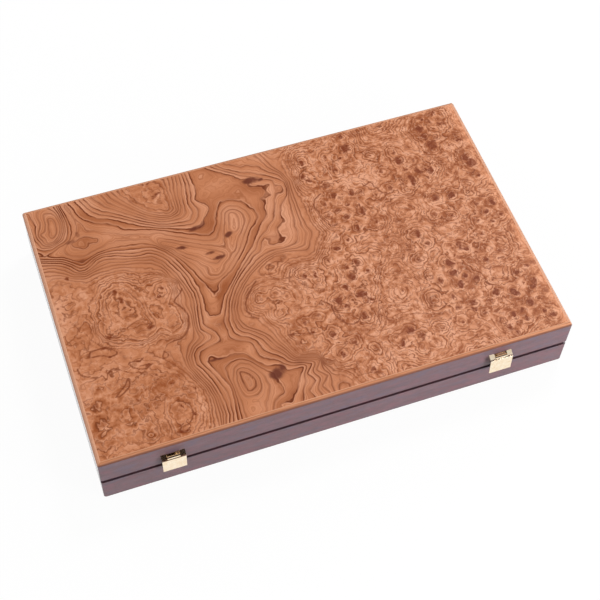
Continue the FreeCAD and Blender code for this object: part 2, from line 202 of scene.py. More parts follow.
# ---- burl veneer ----
# The figure is set out as growth lines on the lid, each with the number of its ring: rings rise from
# the plain wood between the burls towards the burls themselves.
GROWTH_LINES = [
    # the burl at the back left, and the bundle of rings round it
    (4.0, [(-220, 139), (-222, 128), (-224, 120), (-229, 117), (-226, 111), (-225, 105), (-219, 105),
           (-213, 110), (-209, 118), (-208, 126), (-210, 136), (-213, 141), (-220, 141)]),
    (5.2, [(-217, 134), (-219, 122), (-218, 112), (-214, 118), (-213, 130)]),
    (1.0, [(-206, 152), (-204, 138), (-203, 125), (-205, 113), (-210, 104), (-222, 99), (-232, 101),
           (-236, 112), (-238, 130)]),
    (-1.0, [(-203, 152), (-200, 135), (-198, 120), (-199, 110), (-203, 102), (-210, 98), (-216, 97),
            (-220, 94)]),
    (-3.0, [(-204, 98), (-202, 91), (-198, 89), (-188, 89), (-180, 91), (-177, 94), (-182, 97),
            (-189, 100), (-194, 101), (-204, 98)]),
    (-2.0, [(-196, 148), (-192, 130), (-188, 118), (-184, 106)]),
    (-2.2, [(-170, 98), (-160, 92), (-150, 88), (-138, 84), (-126, 78)]),
    (-1.0, [(-197, 152), (-191, 138), (-187, 128), (-182, 121), (-175, 116), (-165, 111), (-155, 104),
            (-148, 98), (-140, 95), (-125, 91), (-110, 84), (-97, 77), (-85, 71), (-75, 66), (-67, 63),
            (-61, 67), (-56, 75), (-52, 84), (-49, 93), (-44, 99), (-36, 101), (-28, 98), (-20, 90),
            (-14, 81), (-12, 73), (-17, 65), (-25, 56), (-32, 46), (-40, 34), (-50, 23), (-60, 14),
            (-70, 8), (-78, 2), (-82, -1), (-86, 3), (-90, 11), (-94, 22), (-98, 34), (-105, 47),
            (-112, 58), (-122, 67), (-135, 75), (-150, 77), (-165, 79), (-180, 78), (-190, 74),
            (-198, 71), (-205, 76), (-215, 84), (-228, 88), (-242, 93)]),
    (0.0, [(-189, 152), (-183, 138), (-177, 128), (-170, 120), (-160, 115), (-150, 110), (-142, 104),
           (-130, 97), (-118, 90), (-105, 85), (-95, 80), (-85, 77), (-76, 75), (-69, 79), (-64, 86),
           (-59, 92), (-58, 98), (-61, 105), (-67, 111), (-65, 120), (-64, 135), (-63, 152)]),
    (2.0, [(-178, 152), (-172, 137), (-162, 126), (-148, 118), (-138, 110), (-125, 101), (-112, 93),
           (-100, 89), (-90, 88), (-80, 89), (-75, 96), (-76, 108), (-74, 120), (-71, 135), (-71, 152)]),
    (4.0, [(-160, 152), (-154, 136), (-142, 124), (-130, 113), (-120, 104), (-108, 98), (-97, 96),
           (-88, 99), (-84, 107), (-83, 120), (-80, 135), (-78, 152)]),
    (6.0, [(-148, 152), (-142, 138), (-132, 124), (-120, 111), (-108, 103), (-97, 101), (-90, 104),
           (-89, 116), (-88, 132), (-86, 152)]),
    (8.0, [(-132, 146), (-124, 130), (-112, 118), (-100, 112), (-98, 126), (-98, 146)]),
    # the knees of plain wood in the middle
    (-4.5, [(-38, 82), (-37, 72), (-40, 62)]),
    (-3.5, [(-48, 60), (-44, 50), (-50, 38)]),
    (-4.6, [(-116, 68), (-104, 62), (-95, 55), (-84, 48), (-74, 42), (-62, 36)]),
    (-3.0, [(-118, 75), (-103, 69), (-90, 62), (-77, 54), (-64, 50), (-55, 42), (-52, 35), (-57, 29),
            (-64, 24), (-66, 17), (-73, 13), (-80, 16), (-82, 26), (-88, 36), (-97, 44), (-105, 53)]),
    (-0.3, [(-52, 120), (-40, 128), (-30, 118), (-40, 110)]),
    (0.0, [(-50, 152), (-38, 141), (-28, 134), (-20, 128), (-15, 122), (-8, 119), (-12, 113), (0, 107),
           (12, 106), (6, 103), (7, 97), (9, 92), (-3, 91), (-2, 85), (-4, 78), (-2, 70), (-8, 65),
           (-15, 57), (-20, 49), (-28, 39), (-36, 30), (-46, 20), (-56, 9), (-66, -2), (-76, -13),
           (-81, -22), (-85, -29), (-90, -31), (-95, -29), (-97, -22), (-95, -10), (-96, 5), (-98, 18),
           (-102, 32), (-108, 46), (-115, 57)]),
    (2.0, [(-38, 152), (-25, 139), (-8, 128), (8, 122), (16, 115), (22, 110), (28, 104), (28, 96),
           (25, 87), (19, 80), (13, 74), (11, 65), (8, 56), (2, 50), (2, 41), (3, 35), (-5, 33),
           (-12, 33), (-15, 42), (-18, 38), (-24, 28), (-33, 23), (-42, 16), (-52, 7), (-62, -4),
           (-70, -17), (-75, -28), (-79, -40), (-78, -55), (-74, -62), (-66, -66), (-61, -71),
           (-59, -80), (-57, -84)]),
    (2.4, [(20, 72), (18, 58), (14, 46), (12, 34), (0, 26)]),
    (0.45, [(-90, -38), (-90, -52)]),
    (1.0, [(17, 110), (17, 100), (12, 84), (6, 72), (0, 60)]),
    (-0.6, [(-24, 116), (-12, 104), (-3, 97), (-10, 86), (-9, 76)]),
    # the rings that run down from the back to the burl at the front
    (4.0, [(8, 152), (14, 138), (20, 125), (28, 116), (31, 104), (29, 88), (28, 65), (27, 46), (28, 34),
           (22, 22), (12, 20), (2, 21), (-8, 22), (-19, 20), (-31, 14), (-41, 7), (-52, -3), (-62, -14),
           (-70, -29), (-72, -42), (-69, -53), (-59, -61), (-51, -69), (-45, -81), (-36, -96)]),
    (6.0, [(18, 152), (23, 140), (27, 126), (32, 114), (36, 103), (35, 88), (34, 70), (33, 55),
           (35, 43), (39, 32), (31, 20), (27, 11), (20, 9), (12, 13), (2, 17), (-9, 18), (-21, 14),
           (-31, 8), (-42, 1), (-52, -9), (-60, -20), (-65, -32), (-66, -44), (-61, -53), (-51, -60),
           (-44, -70), (-37, -85), (-29, -100)]),
    (8.0, [(30, 152), (36, 132), (41, 112), (40, 90), (39, 70), (38, 56), (42, 44), (45, 30), (37, 17),
           (31, 6), (21, 2), (8, 6), (-6, 9), (-17, 6), (-29, 0), (-39, -6), (-48, -12), (-55, -22),
           (-60, -32), (-59, -41), (-50, -49), (-41, -56), (-34, -66), (-28, -80), (-22, -98)]),
    # down the left of the plain wood to the front
    (2.0, [(-242, 86), (-228, 80), (-218, 77), (-210, 70), (-203, 62), (-198, 61), (-190, 64),
           (-184, 69), (-176, 71), (-165, 69), (-155, 65), (-145, 62), (-133, 61), (-125, 57),
           (-118, 50), (-113, 40), (-108, 28), (-104, 10), (-102, 0), (-104, -15), (-107, -30),
           (-109, -42), (-103, -48), (-98, -55), (-108, -57), (-118, -61), (-123, -67), (-124, -78),
           (-119, -86), (-114, -100), (-111, -115), (-110, -130), (-110, -140), (-114, -152)]),
    (4.0, [(-242, 76), (-226, 73), (-217, 67), (-209, 59), (-198, 56), (-184, 60), (-172, 63),
           (-158, 58), (-144, 56), (-131, 52), (-123, 44), (-116, 30), (-110, 12), (-108, -4),
           (-110, -20), (-113, -36), (-112, -50), (-122, -58), (-129, -68), (-129, -80), (-124, -92),
           (-118, -106), (-116, -120), (-116, -136), (-120, -152)]),
    (7.0, [(-242, 62), (-226, 60), (-214, 52), (-200, 48), (-184, 52), (-165, 50), (-150, 45),
           (-135, 42), (-126, 36), (-120, 22), (-116, 8), (-118, -8), (-115, -22), (-118, -38),
           (-125, -47), (-137, -47), (-135, -60), (-136, -75), (-131, -90), (-125, -105), (-122, -120),
           (-124, -135), (-124, -152)]),
    # the eye and the knot at the front
    (0.3, [(-108, -70), (-96, -68), (-82, -69), (-70, -74)]),
    (0.0, [(-105, -152), (-103, -135), (-100, -118), (-100, -110), (-105, -100), (-109, -88),
           (-112, -80), (-104, -78), (-95, -80), (-88, -79), (-80, -81), (-74, -86), (-67, -94),
           (-60, -101), (-52, -103), (-45, -106), (-43, -111), (-36, -113), (-28, -113), (-30, -117),
           (-38, -125), (-43, -137), (-50, -144), (-62, -145)]),
    (1.0, [(-62, -90), (-52, -96), (-44, -104)]),
    (-2.0, [(-97, -152), (-96, -125), (-96, -105), (-91, -93), (-84, -89), (-76, -93), (-69, -102),
            (-66, -113), (-65, -122)]),
    (-4.0, [(-88, -99), (-84, -100), (-79, -105), (-76, -112), (-77, -119), (-83, -122), (-86, -121),
            (-87, -112), (-88, -99)]),
    (-5.0, [(-83, -106), (-81, -113), (-83, -118)]),
    (-2.6, [(-84, -132), (-80, -146)]),
    (-1.2, [(-60, -122), (-56, -132), (-66, -138)]),
    (2.0, [(-19, -112), (-26, -121), (-20, -131), (-31, -139), (-27, -150)]),
    (4.0, [(-10, -111), (-17, -120), (-8, -129), (-17, -138), (-12, -150)]),
    (7.0, [(2, -118), (-3, -127), (6, -137), (0, -149)]),
    # the burls
    (12.0, [(-195, 20), (-200, 5), (-203, -8), (-198, -20), (-188, -27), (-176, -34), (-165, -37),
            (-154, -34), (-148, -25), (-146, -10), (-147, 5), (-150, 20), (-160, 30), (-175, 34),
            (-188, 30), (-195, 20)]),
    (14.5, [(-188, 12), (-190, -5), (-180, -17), (-165, -22), (-155, -15), (-155, 5), (-165, 18),
            (-180, 20), (-188, 12)]),
    (12.0, [(-138, 25), (-142, 10), (-141, -10), (-143, -25), (-138, -38), (-128, -42), (-120, -33),
            (-118, -20), (-122, -8), (-126, 0), (-122, 8), (-118, 18), (-125, 28), (-138, 25)]),
    (8.5, [(-209, 30), (-212, 5), (-209, -15), (-202, -28), (-190, -38), (-172, -46), (-155, -44),
           (-147, -36)]),
    (10.0, [(-232, 35), (-230, 10), (-228, -15)]),
    (10.0, [(-228, -62), (-205, -72), (-175, -78), (-150, -84), (-145, -100)]),
    (13.5, [(-187, -136), (-185, -138)]),
    (11.0, [(-186, -127), (-194, -132), (-196, -140), (-190, -147), (-181, -147), (-176, -140),
            (-178, -131), (-186, -127)]),
    (11.5, [(-160, -136), (-150, -138), (-143, -130), (-143, -118), (-150, -110), (-160, -112),
            (-165, -122), (-163, -132), (-160, -136)]),
    (9.0, [(-170, -108), (-172, -122), (-170, -138)]),
    (11.0, [(-228, -92), (-215, -105), (-200, -112), (-210, -130), (-228, -135)]),
    (10.0, [(-25, -12), (-45, -30), (-25, -50), (0, -40), (20, -20), (60, 20), (60, 80), (60, 130)]),
    (10.0, [(5, -75), (-5, -110), (20, -135), (60, -100), (110, -60), (110, 0), (110, 60), (110, 120)]),
    (10.0, [(170, -120), (170, -60), (170, 0), (170, 60), (170, 120), (225, 130), (225, 60), (225, -20),
            (225, -120)]),
]
# Dark knots and smears in the plain wood: middle x and y, half sizes, turn in degrees, strength.
KNOTS = [
    (-48, 58, 5.0, 3.0, 30, 1), (-98, 57, 6.5, 2.4, -14, 1), (-73, 42, 5.0, 2.2, 0, 0.9),
    (-65, 34, 8.0, 2.6, 3, 0.9), (-77, 76, 10.0, 3.0, 12, 0.9), (-69, 79, 3.0, 5.0, -30, 0.7),
    (-5, 117, 10.0, 4.5, -4, 1), (5, 115, 4.0, 2.2, 0, 0.9), (-54, -112, 8.0, 6.5, 15, 1),
    (-47, -107, 4.0, 4.5, 0, 0.8), (-104, -79, 10.0, 1.6, -3, 0.8), (-203, 99, 6.0, 2.5, 10, 0.7),
    (-194, 106, 3.0, 5.0, 20, 0.6), (-198, 73, 6.0, 2.5, 0, 0.6), (-90, -42, 4.0, 3.5, 0, 0.5),
]
# Paler and darker patches of the wood: the same, with a strength below 0 where it is darker.
TONES = [
    (-38, 76, 12, 16, 0, 0.9), (-195, 135, 6, 20, 15, 0.6), (-160, 95, 20, 8, -10, 0.4),
    (20, 55, 10, 26, 0, 0.3), (105, 84, 26, 10, -5, 0.7), (-88, -12, 5, 14, 0, 0.7),
    (14, 98, 8, 6, 0, 0.6), (-6, 42, 6, 6, 0, 0.6), (-85, 105, 4, 20, 0, 0.2),
    (-110, 66, 20, 7, -30, -0.3), (-92, -70, 26, 8, 0, -0.8), (-90, -42, 8, 10, 0, -1.0),
    (-50, -95, 12, 8, -40, -0.5), (-85, 8, 6, 8, 0, -0.3), (-198, 72, 14, 4, 0, -0.8),
    (-70, 0, 26, 4, 40, -0.5), (100, 20, 12, 12, 0, -0.4), (120, -85, 10, 8, 0, -0.6),
    (190, 110, 10, 24, 10, -1.0), (45, -100, 30, 8, -40, -0.4), (95, -80, 16, 8, 0, 0.7),
    (180, 100, 12, 14, 0, 0.3), (169, 60, 8, 10, 0, -0.8), (-32, 120, 18, 12, 0, 0.6),
    (-170, -112, 50, 40, 0, -0.6), (-190, 142, 24, 9, 0, 1.0), (-232, 90, 12, 40, 0, 0.35),
    (50, 142, 10, 8, 0, 0.9), (10, 146, 24, 8, 0, 0.5), (50, 80, 8, 14, 0, 0.6), (-110, 40, 8, 14, 0, 0.4),
    (-70, 38, 6, 8, 0, -0.5), (5, 22, 16, 8, 0, 0.5), (50, 20, 6, 8, 0, 0.5), (-168, -18, 14, 12, 0, -0.35),
    (-140, 0, 14, 10, 0, -0.25), (92, -4, 10, 12, 0, -0.35), (182, 6, 20, 16, 0, -0.4),
    (210, -30, 8, 14, 0, -0.4), (-64, -90, 14, 14, 0, -0.5), (-26, -124, 20, 12, 0, 0.5),
    (50, -76, 10, 12, 0, 0.5), (-234, 20, 6, 50, 0, 0.4), (140, -142, 14, 6, 0, 0.35),
]
# The burls' dark blotches: the same again.
BLOTCHES = [
    (190, 126, 4, 6, 10, 1), (191, 115, 4, 4, 0, 1), (195, 102, 6, 7, 20, 0.8), (205, 133, 2, 4, 0, 0.8),
    (212, 142, 2, 5, -10, 0.7), (217, 126, 6, 2, -20, 0.8), (224, 104, 2, 6, 0, 0.9),
    (227, 99, 5, 2, 0, 0.8), (198, 139, 2, 3, 0, 0.8), (220, 139, 2, 3, 0, 0.7), (153, 93, 3, 6, 12, 1),
    (156, 79, 3, 2, 0, 0.8), (157, 65, 4, 6, 8, 1), (151, 105, 3, 2, 0, 0.7), (168, 87, 3, 3, 0, 0.6),
    (168, 74, 3, 5, 0, 0.9), (176, 74, 2, 4, 0, 0.6), (181, 71, 3, 5, -15, 1), (174, 63, 2, 2, 0, 0.8),
    (132, 61, 3, 4, 0, 0.7), (130, 85, 3, 3, 0, 0.7), (222, 75, 4, 7, 0, 0.9), (225, 66, 6, 4, 0, 1),
    (226, 49, 3, 3, 0, 0.9), (212, 45, 3, 5, -20, 0.6), (171, 36, 4, 5, 20, 1), (188, 33, 4, 4, 0, 0.9),
    (163, 15, 2, 3, 0, 0.9), (208, 16, 2, 5, 0, 0.9), (226, 11, 3, 6, 0, 0.9), (215, 1, 3, 2, 0, 1),
    (228, -7, 3, 2, 20, 0.8), (216, -12, 2, 2, 0, 0.8), (202, -7, 2, 1.5, 0, 0.7),
    (136, -2, 4, 5, 0, 0.9), (171, -29, 3, 6, -10, 0.8), (177, -34, 3, 3, 0, 0.8),
    (153, -47, 5, 5, 0, 1), (151, -60, 4, 4, 0, 1), (162, -66, 2.5, 3.5, 0, 1),
    (153, -74, 3.5, 3.5, 0, 0.9), (136, -64, 3, 4, 0, 0.6), (171, -73, 4, 6, 0, 0.7),
    (190, -54, 2.5, 3, 0, 0.9), (208, -48, 4, 3, 0, 0.6), (212, -78, 4, 4, 0, 0.8), (227, -73, 3, 2, 0, 0.8),
    (235, -72, 3, 4, 0, 0.7), (141, -85, 3, 3, 0, 0.6), (184, -93, 3, 4, 0, 1), (200, -98, 4, 5, -15, 1),
    (204, -101, 3, 3, 0, 0.8), (190, -102, 2, 2, 0, 0.8), (225, -94, 3, 6, -25, 1), (222, -99, 3, 3, 0, 0.8),
    (154, -98, 3, 3, 0, 0.7), (155, -105, 4, 3, 0, 0.8), (173, -100, 4, 2, 0, 0.6),
    (233, -107, 4, 3, 0, 0.8), (163, -113, 3, 3, 0, 0.7), (175, -114, 3, 3, 0, 0.6),
    (211, -116, 4, 5, 0, 0.9), (190, -122, 3, 4, 0, 0.9), (200, -130, 2, 4, 0, 0.8),
    (220, -129, 2, 2, 0, 0.8), (226, -135, 4, 2, 0, 0.8), (180, -138, 3, 3, 0, 0.6),
    (185, -143, 3, 3, 0, 0.6), (120, -83, 5, 6, 0, 0.5), (141, -98, 4, 3, 0, 0.6),
    (54, 122, 3, 4, 0, 0.8), (49, 105, 2, 3, 0, 0.9), (53, 97, 3, 2, -30, 0.8), (104, 126, 4, 7, -15, 0.9),
    (105, 143, 3, 4, -30, 0.8), (95, 116, 3, 2, 0, 0.9), (83, 105, 3, 8, -10, 0.7), (82, 121, 2, 3, 0, 0.6),
    (100, 107, 3, 2, 0, 0.7), (71, 70, 3, 7, -10, 0.9), (58, 64, 3, 3, 0, 0.7), (90, 69, 3, 4, 0, 0.9),
    (101, 66, 3, 3, 0, 0.8), (82, 55, 3, 1.5, 0, 0.9), (68, 52, 2, 3, 0, 0.7), (57, 47, 3, 3, 0, 0.6),
    (75, 40, 3, 3, 0, 0.8), (93, 42, 2.5, 7, 0, 0.9), (80, 24, 2.5, 6, 0, 0.9), (62, 36, 4, 2, 0, 0.6),
    (65, 14, 2, 2, 0, 0.8), (50, 6, 3, 3, 0, 0.9), (8, -15, 3, 3, 0, 0.7), (20, -17, 2, 4, 0, 0.7),
    (17, -27, 3, 3, 0, 0.6), (51, -17, 3, 4, 0, 0.8), (64, -15, 3, 5, 0, 0.9), (53, -31, 4, 6, -30, 1),
    (43, -40, 3, 4, 20, 0.9), (71, -28, 2, 4, 0, 0.7), (31, -54, 3, 6, 0, 1), (37, -62, 3, 4, 20, 0.7),
    (55, -54, 5, 5, 0, 0.9), (62, -62, 5, 2, -20, 0.7), (49, -78, 3, 5, -10, 0.9), (12, -88, 4, 5, 0, 0.8),
    (-10, -66, 2, 3, 0, 0.6), (5, -63, 3, 4, 0, 0.5), (28, -104, 3, 4, 0, 0.8), (14, -112, 3, 3, 0, 0.7),
    (-8, -116, 3, 5, 0, 0.6), (73, -119, 3, 4, -20, 0.8), (84, -107, 5, 5, 30, 0.8), (94, -117, 3, 6, 0, 0.8),
    (92, -108, 4, 2, 0, 0.6), (36, -138, 4, 2, -20, 0.8), (-27, -76, 3, 1.5, 0, 0.8), (-6, -80, 3, 2, 0, 0.7),
    (-23, -88, 3, 3, 0, 0.6), (-217, 57, 2, 3, 0, 0.9), (-177, 26, 3, 3, 0, 0.8), (-173, 17, 2.5, 5, 0, 0.7),
    (-171, 36, 3, 2, 0, 0.7), (-168, 1, 1.2, 1.2, 0, 1), (-153, -24, 4, 3, 0, 0.9), (-137, 7, 4, 2, 40, 0.8),
    (-131, 17, 2, 3, 0, 0.7), (-134, -102, 1.6, 2, 0, 1), (-150, -118, 1.5, 1.5, 0, 0.9),
    (-151, -90, 3, 2, 0, 0.8), (-163, -77, 2.5, 2, 0, 0.7), (-163, -83, 3, 1.5, 0, 0.7),
    (-203, -33, 4, 2, -10, 0.9), (-199, -43, 3, 2, 0, 0.8), (-195, -23, 4, 2, -15, 0.9),
    (-226, -91, 3, 5, 0, 0.6), (-226, -113, 5, 4, 0, 0.5), (-205, -60, 4, 2, 0, 0.7),
    (-141, -129, 3, 2, 10, 0.9), (-156, -142, 8, 2, 0, 0.9), (-176, -57, 2, 1.5, 0, 0.8),
    (-167, -64, 4, 2, 10, 0.8), (-187, -98, 4, 3, 0, 0.5), (-177, -90, 2, 2, 0, 0.6),
    (-130, 130, 3, 3, 0, 0.6), (-108, 127, 3, 3, 0, 0.7), (-103, 131, 3, 2, 0, 0.6),
]
# Single dark lines in the burls: how dark, and the points that each passes through.
STROKES = [
    (0.9, [(-219, -37), (-217, -33), (-210, -32), (-203, -32), (-197, -35), (-192, -40), (-193, -43),
           (-199, -44), (-205, -41), (-212, -39), (-219, -38)]),
    (0.6, [(-201, -33), (-198, -38), (-197, -43)]),
    (0.9, [(-233, -47), (-232, -53), (-229, -57), (-224, -59)]),
    (0.8, [(-206, -61), (-202, -57), (-195, -60), (-190, -64), (-185, -68), (-178, -69), (-174, -72)]),
    (0.9, [(-170, -55), (-174, -57), (-178, -56), (-183, -55), (-185, -57), (-182, -62), (-176, -66),
           (-170, -67), (-165, -65), (-168, -63), (-175, -62)]),
    (0.8, [(-149, -54), (-152, -60), (-152, -62), (-148, -62), (-146, -60), (-147, -56), (-149, -54)]),
    (0.6, [(-145, -41), (-140, -43), (-136, -45), (-138, -48), (-143, -45), (-145, -41)]),
    (0.9, [(-190, -72), (-194, -78), (-200, -83), (-206, -88), (-203, -89), (-197, -86), (-191, -81),
           (-189, -76), (-189, -72)]),
    (0.8, [(-199, -19), (-195, -23), (-189, -24), (-184, -26), (-178, -29), (-172, -33), (-166, -36)]),
    (0.6, [(-207, 2), (-208, -10), (-204, -20), (-198, -28), (-190, -32), (-180, -33), (-175, -37),
           (-168, -39), (-161, -38), (-156, -36)]),
    (0.5, [(-211, 0), (-211, -12), (-207, -22), (-200, -31), (-190, -37), (-178, -41), (-166, -43),
           (-154, -40)]),
    (0.7, [(-157, -13), (-163, -12), (-168, -14), (-175, -17), (-176, -20), (-170, -20), (-163, -18),
           (-158, -20), (-150, -19)]),
    (0.9, [(-112, 10), (-116, 4), (-121, 1), (-124, -3), (-121, -8), (-117, -15), (-115, -22),
           (-117, -30), (-120, -38), (-124, -43), (-130, -46), (-136, -46)]),
    (0.7, [(-162, 32), (-156, 31), (-151, 29)]),
    (0.8, [(-160, -136), (-155, -138), (-149, -137), (-145, -133), (-142, -128), (-143, -121),
           (-147, -114)]),
    (0.6, [(-189, -134), (-190, -139), (-186, -141), (-182, -138), (-183, -134), (-188, -133)]),
    (0.6, [(-193, -143), (-194, -136), (-189, -131), (-182, -131), (-178, -136), (-179, -143)]),
    (0.5, [(-182, -118), (-177, -124), (-172, -127), (-167, -131), (-165, -137)]),
    (0.7, [(-223, 2), (-220, -8), (-216, -10), (-214, -16), (-211, -22), (-206, -27), (-203, -31)]),
    (0.5, [(-204, -102), (-206, -108), (-205, -116), (-200, -121)]),
    (0.5, [(-222, -80), (-219, -90), (-214, -98), (-211, -110), (-215, -122), (-217, -135)]),
    (0.5, [(-150, -76), (-144, -79), (-140, -83)]),
    (0.6, [(-127, -100), (-124, -108), (-122, -116), (-123, -126)]),
    (0.8, [(-88, -99), (-84, -100), (-79, -105), (-76, -112), (-77, -119), (-83, -122), (-86, -121),
           (-87, -112), (-88, -99)]),
    (0.9, [(-39, -5), (-45, -10), (-51, -17), (-58, -27), (-59, -37), (-56, -44), (-50, -48)]),
    (0.7, [(-24, 2), (-21, 10), (-12, 11), (-1, 5), (4, -4), (-4, -11), (-15, -11), (-24, -5), (-24, 2)]),
    (0.7, [(2, -11), (1, -20), (8, -29), (18, -34), (24, -38)]),
    (0.8, [(25, -51), (25, -62), (27, -77), (29, -82)]),
    (1.0, [(50, 108), (48, 105), (49, 100), (52, 97), (56, 95)]),
    (0.8, [(61, 86), (66, 88), (72, 88), (73, 84), (67, 83), (61, 86), (70, 86)]),
    (0.9, [(60, 78), (55, 75), (50, 72), (48, 67), (47, 62), (49, 56), (49, 48), (51, 42), (54, 37),
           (58, 34), (62, 35)]),
    (0.7, [(53, 50), (54, 44), (59, 43), (62, 48), (59, 53), (54, 53)]),
    (0.9, [(14, -47), (20, -53), (22, -58), (22, -66), (24, -74), (29, -81), (35, -84), (41, -82),
           (46, -76)]),
    (0.7, [(45, -67), (50, -65), (56, -64), (62, -66), (70, -66)]),
    (0.8, [(68, -73), (64, -77), (62, -83), (60, -90)]),
    (0.7, [(70, -84), (66, -92), (60, -98)]),
    (0.7, [(50, -92), (54, -97), (58, -99), (62, -96)]),
    (0.8, [(-30, -75), (-24, -76), (-18, -77), (-10, -80), (-4, -81)]),
    (0.7, [(44, -100), (50, -105), (54, -112), (57, -122), (58, -132), (58, -140)]),
    (0.6, [(40, -106), (47, -108), (52, -115), (54, -124), (53, -134)]),
    (0.5, [(60, -108), (61, -120), (61, -135)]),
    (0.7, [(13, -98), (18, -100), (22, -102), (17, -105), (11, -108), (7, -112)]),
    (0.8, [(19, -139), (26, -139), (33, -140), (40, -142)]),
    (0.6, [(2, -131), (1, -137), (0, -142)]),
    (0.6, [(80, -100), (86, -100), (92, -99), (100, -101), (106, -103)]),
    (0.7, [(92, -91), (98, -91), (105, -94), (115, -98)]),
    (0.6, [(60, -7), (66, -1), (75, 0), (82, -1)]),
    (0.9, [(105, 73), (110, 74), (113, 76), (115, 73), (116, 68), (119, 66), (119, 62), (122, 58),
           (126, 56)]),
    (0.8, [(141, 72), (145, 71), (147, 66), (146, 62)]),
    (0.6, [(152, -17), (158, -16), (164, -14), (170, -13)]),
    (0.6, [(199, 50), (203, 55), (208, 60), (211, 64)]),
    (0.8, [(213, 60), (217, 55), (222, 53), (226, 56)]),
    (0.8, [(204, 38), (206, 34), (208, 30)]),
    (0.8, [(173, -127), (175, -123), (180, -124), (181, -128), (177, -131), (173, -128)]),
    (0.8, [(184, -60), (185, -64), (189, -66), (192, -63)]),
    (0.8, [(122, -56), (126, -54), (131, -55), (130, -58), (125, -58), (122, -56)]),
    (0.7, [(150, -4), (155, 1), (159, 6)]),
]
# The burls' eyes, which the rings wind round: x, y and radius.
EYES = [
    (54, 123, 4), (50, 105, 4), (53, 97, 3), (82, 121, 3), (94, 117, 4), (104, 126, 6), (105, 143, 4),
    (88, 108, 3), (84, 102, 4), (101, 107, 3), (125, 109, 4), (151, 105, 4), (106, 97, 3), (69, 86, 3),
    (58, 64, 3), (71, 70, 5), (90, 69, 4), (100, 66, 4), (58, 50, 3), (82, 55, 3), (92, 51, 3),
    (75, 40, 4), (93, 42, 5), (80, 25, 4), (102, 25, 4), (65, 14, 3), (131, 62, 4), (131, 86, 3),
    (148, 67, 3), (154, 93, 5), (156, 79, 3), (158, 64, 6), (170, 73, 5), (173, 63, 3), (180, 72, 4),
    (168, 88, 3), (170, 35, 7), (188, 33, 5), (190, 128, 6), (192, 114, 6), (198, 139, 3), (205, 134, 3),
    (212, 142, 4), (215, 125, 4), (221, 139, 3), (204, 110, 4), (225, 101, 5), (195, 97, 6), (223, 76, 8),
    (226, 65, 7), (227, 48, 4), (212, 44, 4), (206, 34, 4), (163, 14, 4), (210, 16, 4), (226, 12, 5),
    (178, 8, 4), (147, 54, 4), (115, 57, 3), (85, 78, 3), (68, 52, 3), (61, 38, 3), (50, 6, 4),
    (37, -4, 3), (52, -18, 4), (64, -15, 4), (53, -31, 5), (42, -40, 4), (70, -28, 3), (55, -52, 5),
    (63, -42, 3), (33, -50, 4), (32, -62, 3), (49, -78, 5), (57, -63, 3), (136, -2, 6), (125, -33, 5),
    (84, -13, 3), (107, -8, 3), (95, -62, 3), (141, -17, 4), (127, -56, 3), (170, -30, 5), (177, -34, 4),
    (153, -47, 6), (152, -60, 5), (152, -73, 4), (138, -64, 4), (162, -66, 3), (171, -74, 4),
    (141, -85, 4), (163, -82, 4), (163, -26, 3), (190, -53, 3), (192, -20, 3), (199, -23, 3),
    (202, -7, 3), (215, 1, 4), (216, -12, 3), (228, -8, 3), (212, -36, 3), (212, -48, 4), (196, -42, 3),
    (213, -78, 4), (223, -73, 3), (233, -72, 4), (184, -93, 4), (201, -98, 6), (225, -92, 5),
    (222, -100, 4), (157, -97, 5), (175, -103, 4), (143, -97, 3), (138, -115, 3), (163, -113, 4),
    (211, -115, 5), (233, -107, 4), (190, -122, 5), (200, -121, 5), (200, -131, 4), (176, -127, 4),
    (84, -108, 5), (94, -118, 4), (75, -119, 4), (70, -111, 3), (105, -130, 4), (90, -130, 3),
    (115, -115, 4), (120, -83, 7), (180, -135, 4), (185, -141, 4), (228, -135, 4), (221, -130, 3),
    (35, -136, 4), (40, -143, 3), (47, -118, 3), (-172, 17, 3), (-175, 26, 3), (-170, 36, 3),
    (-170, 1, 2), (-153, -24, 3), (-138, 10, 3), (-217, 57, 3), (-215, 15, 3), (-216, 25, 3),
    (-194, -24, 4), (-175, -57, 3), (-169, -64, 3), (-200, -84, 4), (-202, -58, 3), (-204, -33, 3),
    (-199, -43, 3), (-165, -77, 3), (-150, -90, 3), (-186, -95, 3), (-203, -110, 4), (-182, -115, 4),
    (-199, -118, 3), (-227, -115, 4), (-224, -93, 4), (-218, -75, 3), (-177, -92, 3), (-150, -117, 2),
    (-142, -128, 2), (-155, -142, 4), (-133, -103, 2), (-134, 144, 3), (-127, 123, 3), (-109, 125, 4),
    (-103, 131, 4), (-98, 107, 3), (-116, 111, 3), (-25, -28, 3), (-43, -25, 3), (-15, -35, 2),
    (-10, -65, 3), (-28, -50, 3), (8, -13, 3), (18, -15, 3), (17, -26, 4), (5, -63, 3), (12, -88, 4),
    (-23, -88, 3), (-26, -76, 3), (-17, -98, 3), (-8, -115, 3), (12, -112, 4), (28, -104, 3),
    (-5, -79, 3),
]
# The sheet carries the figure at points this far apart, and the growth lines are followed in steps.
VENEER_STEP = 1.4
GROWTH_STEP = 4.5
# How loosely the rings keep to the growth lines, and how many places are worked out at once.
GROWTH_SLACK = 0.02
BLOCK = 4000
